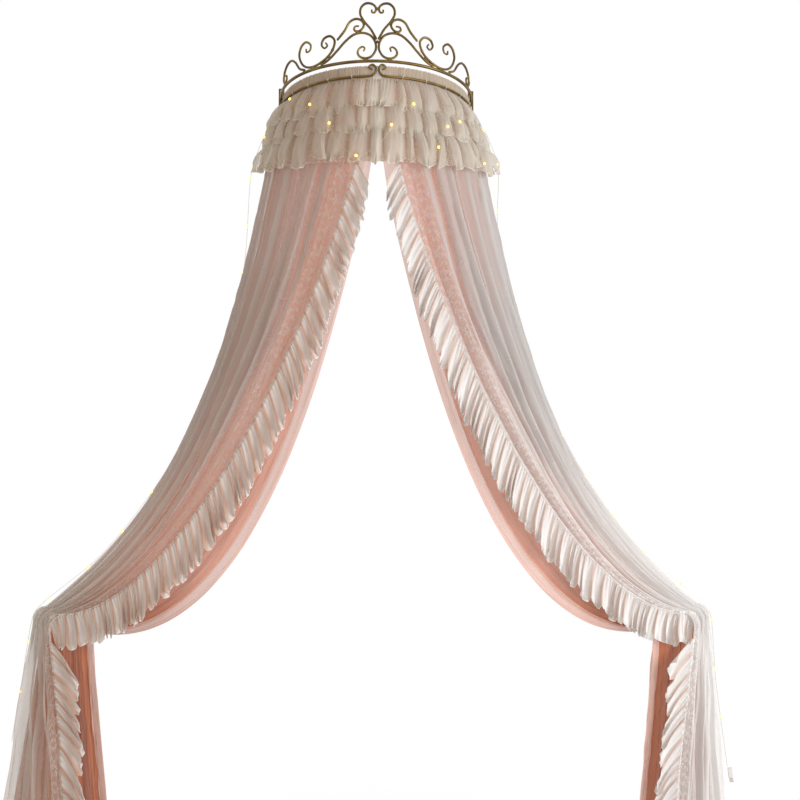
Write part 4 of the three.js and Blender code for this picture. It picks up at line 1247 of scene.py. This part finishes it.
# Start, rows and count of the steps in each part of a wall edge: sweep, bend and fall
EDGE_PARTS = (SWEEP_START, SWEEP_ROWS, 9), (HOOK_ROW, BEND_ROWS, 2), (FALL_START, FALL_ROWS, 4)
LEFT_EDGE_ROWS = [1.9, 1, 0, -1, -3, -4.5, -6, -7.5, -9]
RIGHT_EDGE_ROWS = [-10, -9, -7.5, -6, -4.5, -3, -1, 0, 1]
PLUG_ROW = 2.4
VALANCE_STAND_OFF = 0.012
EDGE_STAND_OFF = 0.006
PLUG_STAND_OFF = 0.020
STRING_STEPS = 80
STEP_POINTS = 12
BULB_EVERY = 2
WIRE_RADIUS = 0.0004
WIRE_TWIST = 0.018
STRING_UP = np.array([0.13, -0.31, 0.94])
BULB_PROFILE = ball_profile(0.0036, 1.1, 6)
BULB_NECK = [(-0.0050, 0.0007), (-0.0038, 0.0012), (-0.002, 0.0014)]


def valance_crest(share):
    """Radius that the tiers reach at a share of the drop, beside the base cloth's top."""
    base = BASE_TOP_RADIUS + TIER_SEAT
    upper, lower = (
        base + TIER_BOTTOM_SHARES[i] * VALANCE_SPREAD + TIER_STAND_OFF[i] for i in (0, 2)
    )
    places = [0, TIER_BOTTOM_SHARES[0], TIER_BOTTOM_SHARES[2]]
    return np.interp(share, places, [base + TIER_FOLD_DEPTH, upper, lower])


def edge_route(hand, rows, stand_off):
    """Places beside the lace's wall edge; rows count its sections, nine to the sweep, from the fall's top."""
    coarse = [0, HEAD_ROWS, SWEEP_START]
    for start, length, count in EDGE_PARTS:
        coarse += [start + round(length * i / count) for i in range(1, count + 1)]
    edge = drape_base(OUTER, hand, np.array([0.0, 0.05]))[coarse, 0]
    rows = coarse.index(FALL_START) + np.array(rows)
    at = np.minimum(np.floor(rows).astype(int), len(edge) - 2)
    run = unit(edge[at + 1] - edge[at])
    away = unit(SIDES[hand] * np.cross(run, (0, 1, 0)))
    return lerp(edge[at], edge[at + 1], (rows - at)[:, None]) + away * stand_off


def string_route():
    around, share = np.array(VALANCE_ROUTE).T
    angle = around * CLOTH_SWEEP
    radius = valance_crest(share) + VALANCE_STAND_OFF
    return joined(
        edge_route("left", LEFT_EDGE_ROWS, EDGE_STAND_OFF),
        ring_point(angle, radius, valance_place(share, angle)[1]),
        edge_route("right", RIGHT_EDGE_ROWS, EDGE_STAND_OFF), edge_route("right", [PLUG_ROW], PLUG_STAND_OFF),
    )


def build_string():
    """Two fine wires twisted round the route, with a small lamp on a short neck at every second step."""
    path = smooth_path(string_route(), STRING_STEPS * STEP_POINTS + 1)
    run = unit(np.gradient(path, axis=0))
    aside, up = beside_run(run, STRING_UP)
    twist = path_lengths(path)[:, None] * TURN / WIRE_TWIST
    shape = Shape()
    for turn in (twist, twist + np.pi):
        spoke = aside * np.cos(turn) + up * np.sin(turn)
        add_tube(shape, path + spoke * WIRE_RADIUS, WIRE_RADIUS, 5, STRING_UP)
    for i in range(BULB_EVERY, STRING_STEPS, BULB_EVERY):
        place, ahead = path[i * STEP_POINTS], run[i * STEP_POINTS]
        add_turned(shape, BULB_PROFILE, place, ahead, 10, paint=1)
        add_turned(shape, BULB_NECK, place, ahead, 8)
    shape.build("lamp_string", "light_string", WIRE, BULB_GLASS)
    bevelled("string_plug", "plug_body", PLASTIC, 0.0012)
    bevelled("string_plug_shell", "plug_tip", STEEL, 0.0005)


# Floor, light and camera
FLOOR_RADIUS, FLOOR_CORNERS = 2.7, 64
FLOOR_FADE = (1.6, 2.6)
FOCAL_PIXELS = 980
FRAME_PIXELS = 800
SENSOR_WIDTH = 36
CAMERA_PLACE = (-0.028, -3.035, -1.162)
CAMERA_TURN = (QUARTER + 0.075, 0, -0.034)
WORLD_LIGHT = {"Color": (1.0, 0.94, 0.86), "Strength": 0.46}
# Each lamp's place, aim, size, power and colour
LAMPS = {
    "key": ((3.1, -2.3, -1.0), (0.3, 0, -1.35), 3.0, 142, (0.97, 0.985, 1.0)),
    "fill": ((-2.6, -2.6, -0.4), (0, 0, -1.1), 2.4, 22, (1.0, 0.84, 0.68)),
}


def add_object(name, data, place=(0, 0, 0), turn=(0, 0, 0)):
    holder = bpy.data.objects.new(name, data)
    holder.location, holder.rotation_euler = place, turn
    bpy.context.scene.collection.objects.link(holder)
    return holder


def build_stage():
    """A round pale floor that fades out into the white behind it."""
    f = Finish("floor")
    fade = f.step(f.node("VectorMath", {0: f.object_place()}, "Value", operation="LENGTH"), *FLOOR_FADE)
    matt = f.node("BsdfDiffuse", {"Color": (0.86, 0.86, 0.86)})
    white = f.node("Emission", {"Color": (1, 1, 1), "Strength": 1.0})
    rays = f.node("LightPath")
    direct = largest(f, rays.output("Is Camera Ray"), rays.output("Is Glossy Ray"))
    lit = f.node("MixShader", {0: direct * 0.45, 1: matt, 2: white})
    f.show(f.node("MixShader", {0: fade, 1: lit, 2: f.node("BsdfTransparent")}))
    mesh = bpy.data.meshes.new("floor")
    turn = round_angles(FLOOR_CORNERS)
    rim = together(FLOOR_RADIUS * np.cos(turn), FLOOR_RADIUS * np.sin(turn), FLOOR_LEVEL)
    mesh.from_pydata(rim.tolist(), [], [list(range(FLOOR_CORNERS))])
    mesh.materials.append(f.material)
    add_object("floor", mesh)


def build_world():
    """White to the eye and in reflections, softer as light."""
    world = bpy.data.worlds.new("studio")
    bpy.context.scene.world = world
    f = Finish("studio", owner=world)
    rays = f.node("LightPath")
    seen = [rays.output(f"Is {kind} Ray") for kind in ("Camera", "Glossy", "Transmission")]
    soft, white = f.node("Background", WORLD_LIGHT), f.node("Background", {"Color": (1, 1, 1)})
    f.show(f.node("MixShader", {0: largest(f, *seen), 1: soft, 2: white}), "OutputWorld")


def add_lamp(name, place, aim, size, power, colour):
    lamp = bpy.data.lights.new(name, "AREA")
    lamp.shape, lamp.size, lamp.energy, lamp.color = "DISK", size, power, colour
    add_object(name, lamp, place, (Vector(aim) - Vector(place)).to_track_quat("-Z", "Y").to_euler())


def build_camera():
    camera = bpy.data.cameras.new("camera")
    camera.sensor_width = SENSOR_WIDTH
    camera.lens = SENSOR_WIDTH * FOCAL_PIXELS / FRAME_PIXELS
    bpy.context.scene.camera = add_object("camera", camera, CAMERA_PLACE, CAMERA_TURN)


build_camera()
build_crown()
build_wall_steel()
build_screws()
build_tape()
build_base()
for tier_number, tier_node in enumerate(TIER_NODES):
    build_tier(tier_number, tier_node)
build_ruffles(build_drapes())
build_string()
build_stage()
build_world()
for lamp_name, lamp_values in LAMPS.items():
    add_lamp(lamp_name, *lamp_values)
bpy.context.scene.view_settings.view_transform = "Standard"
bpy.context.scene.cycles.transparent_max_bounces = 32
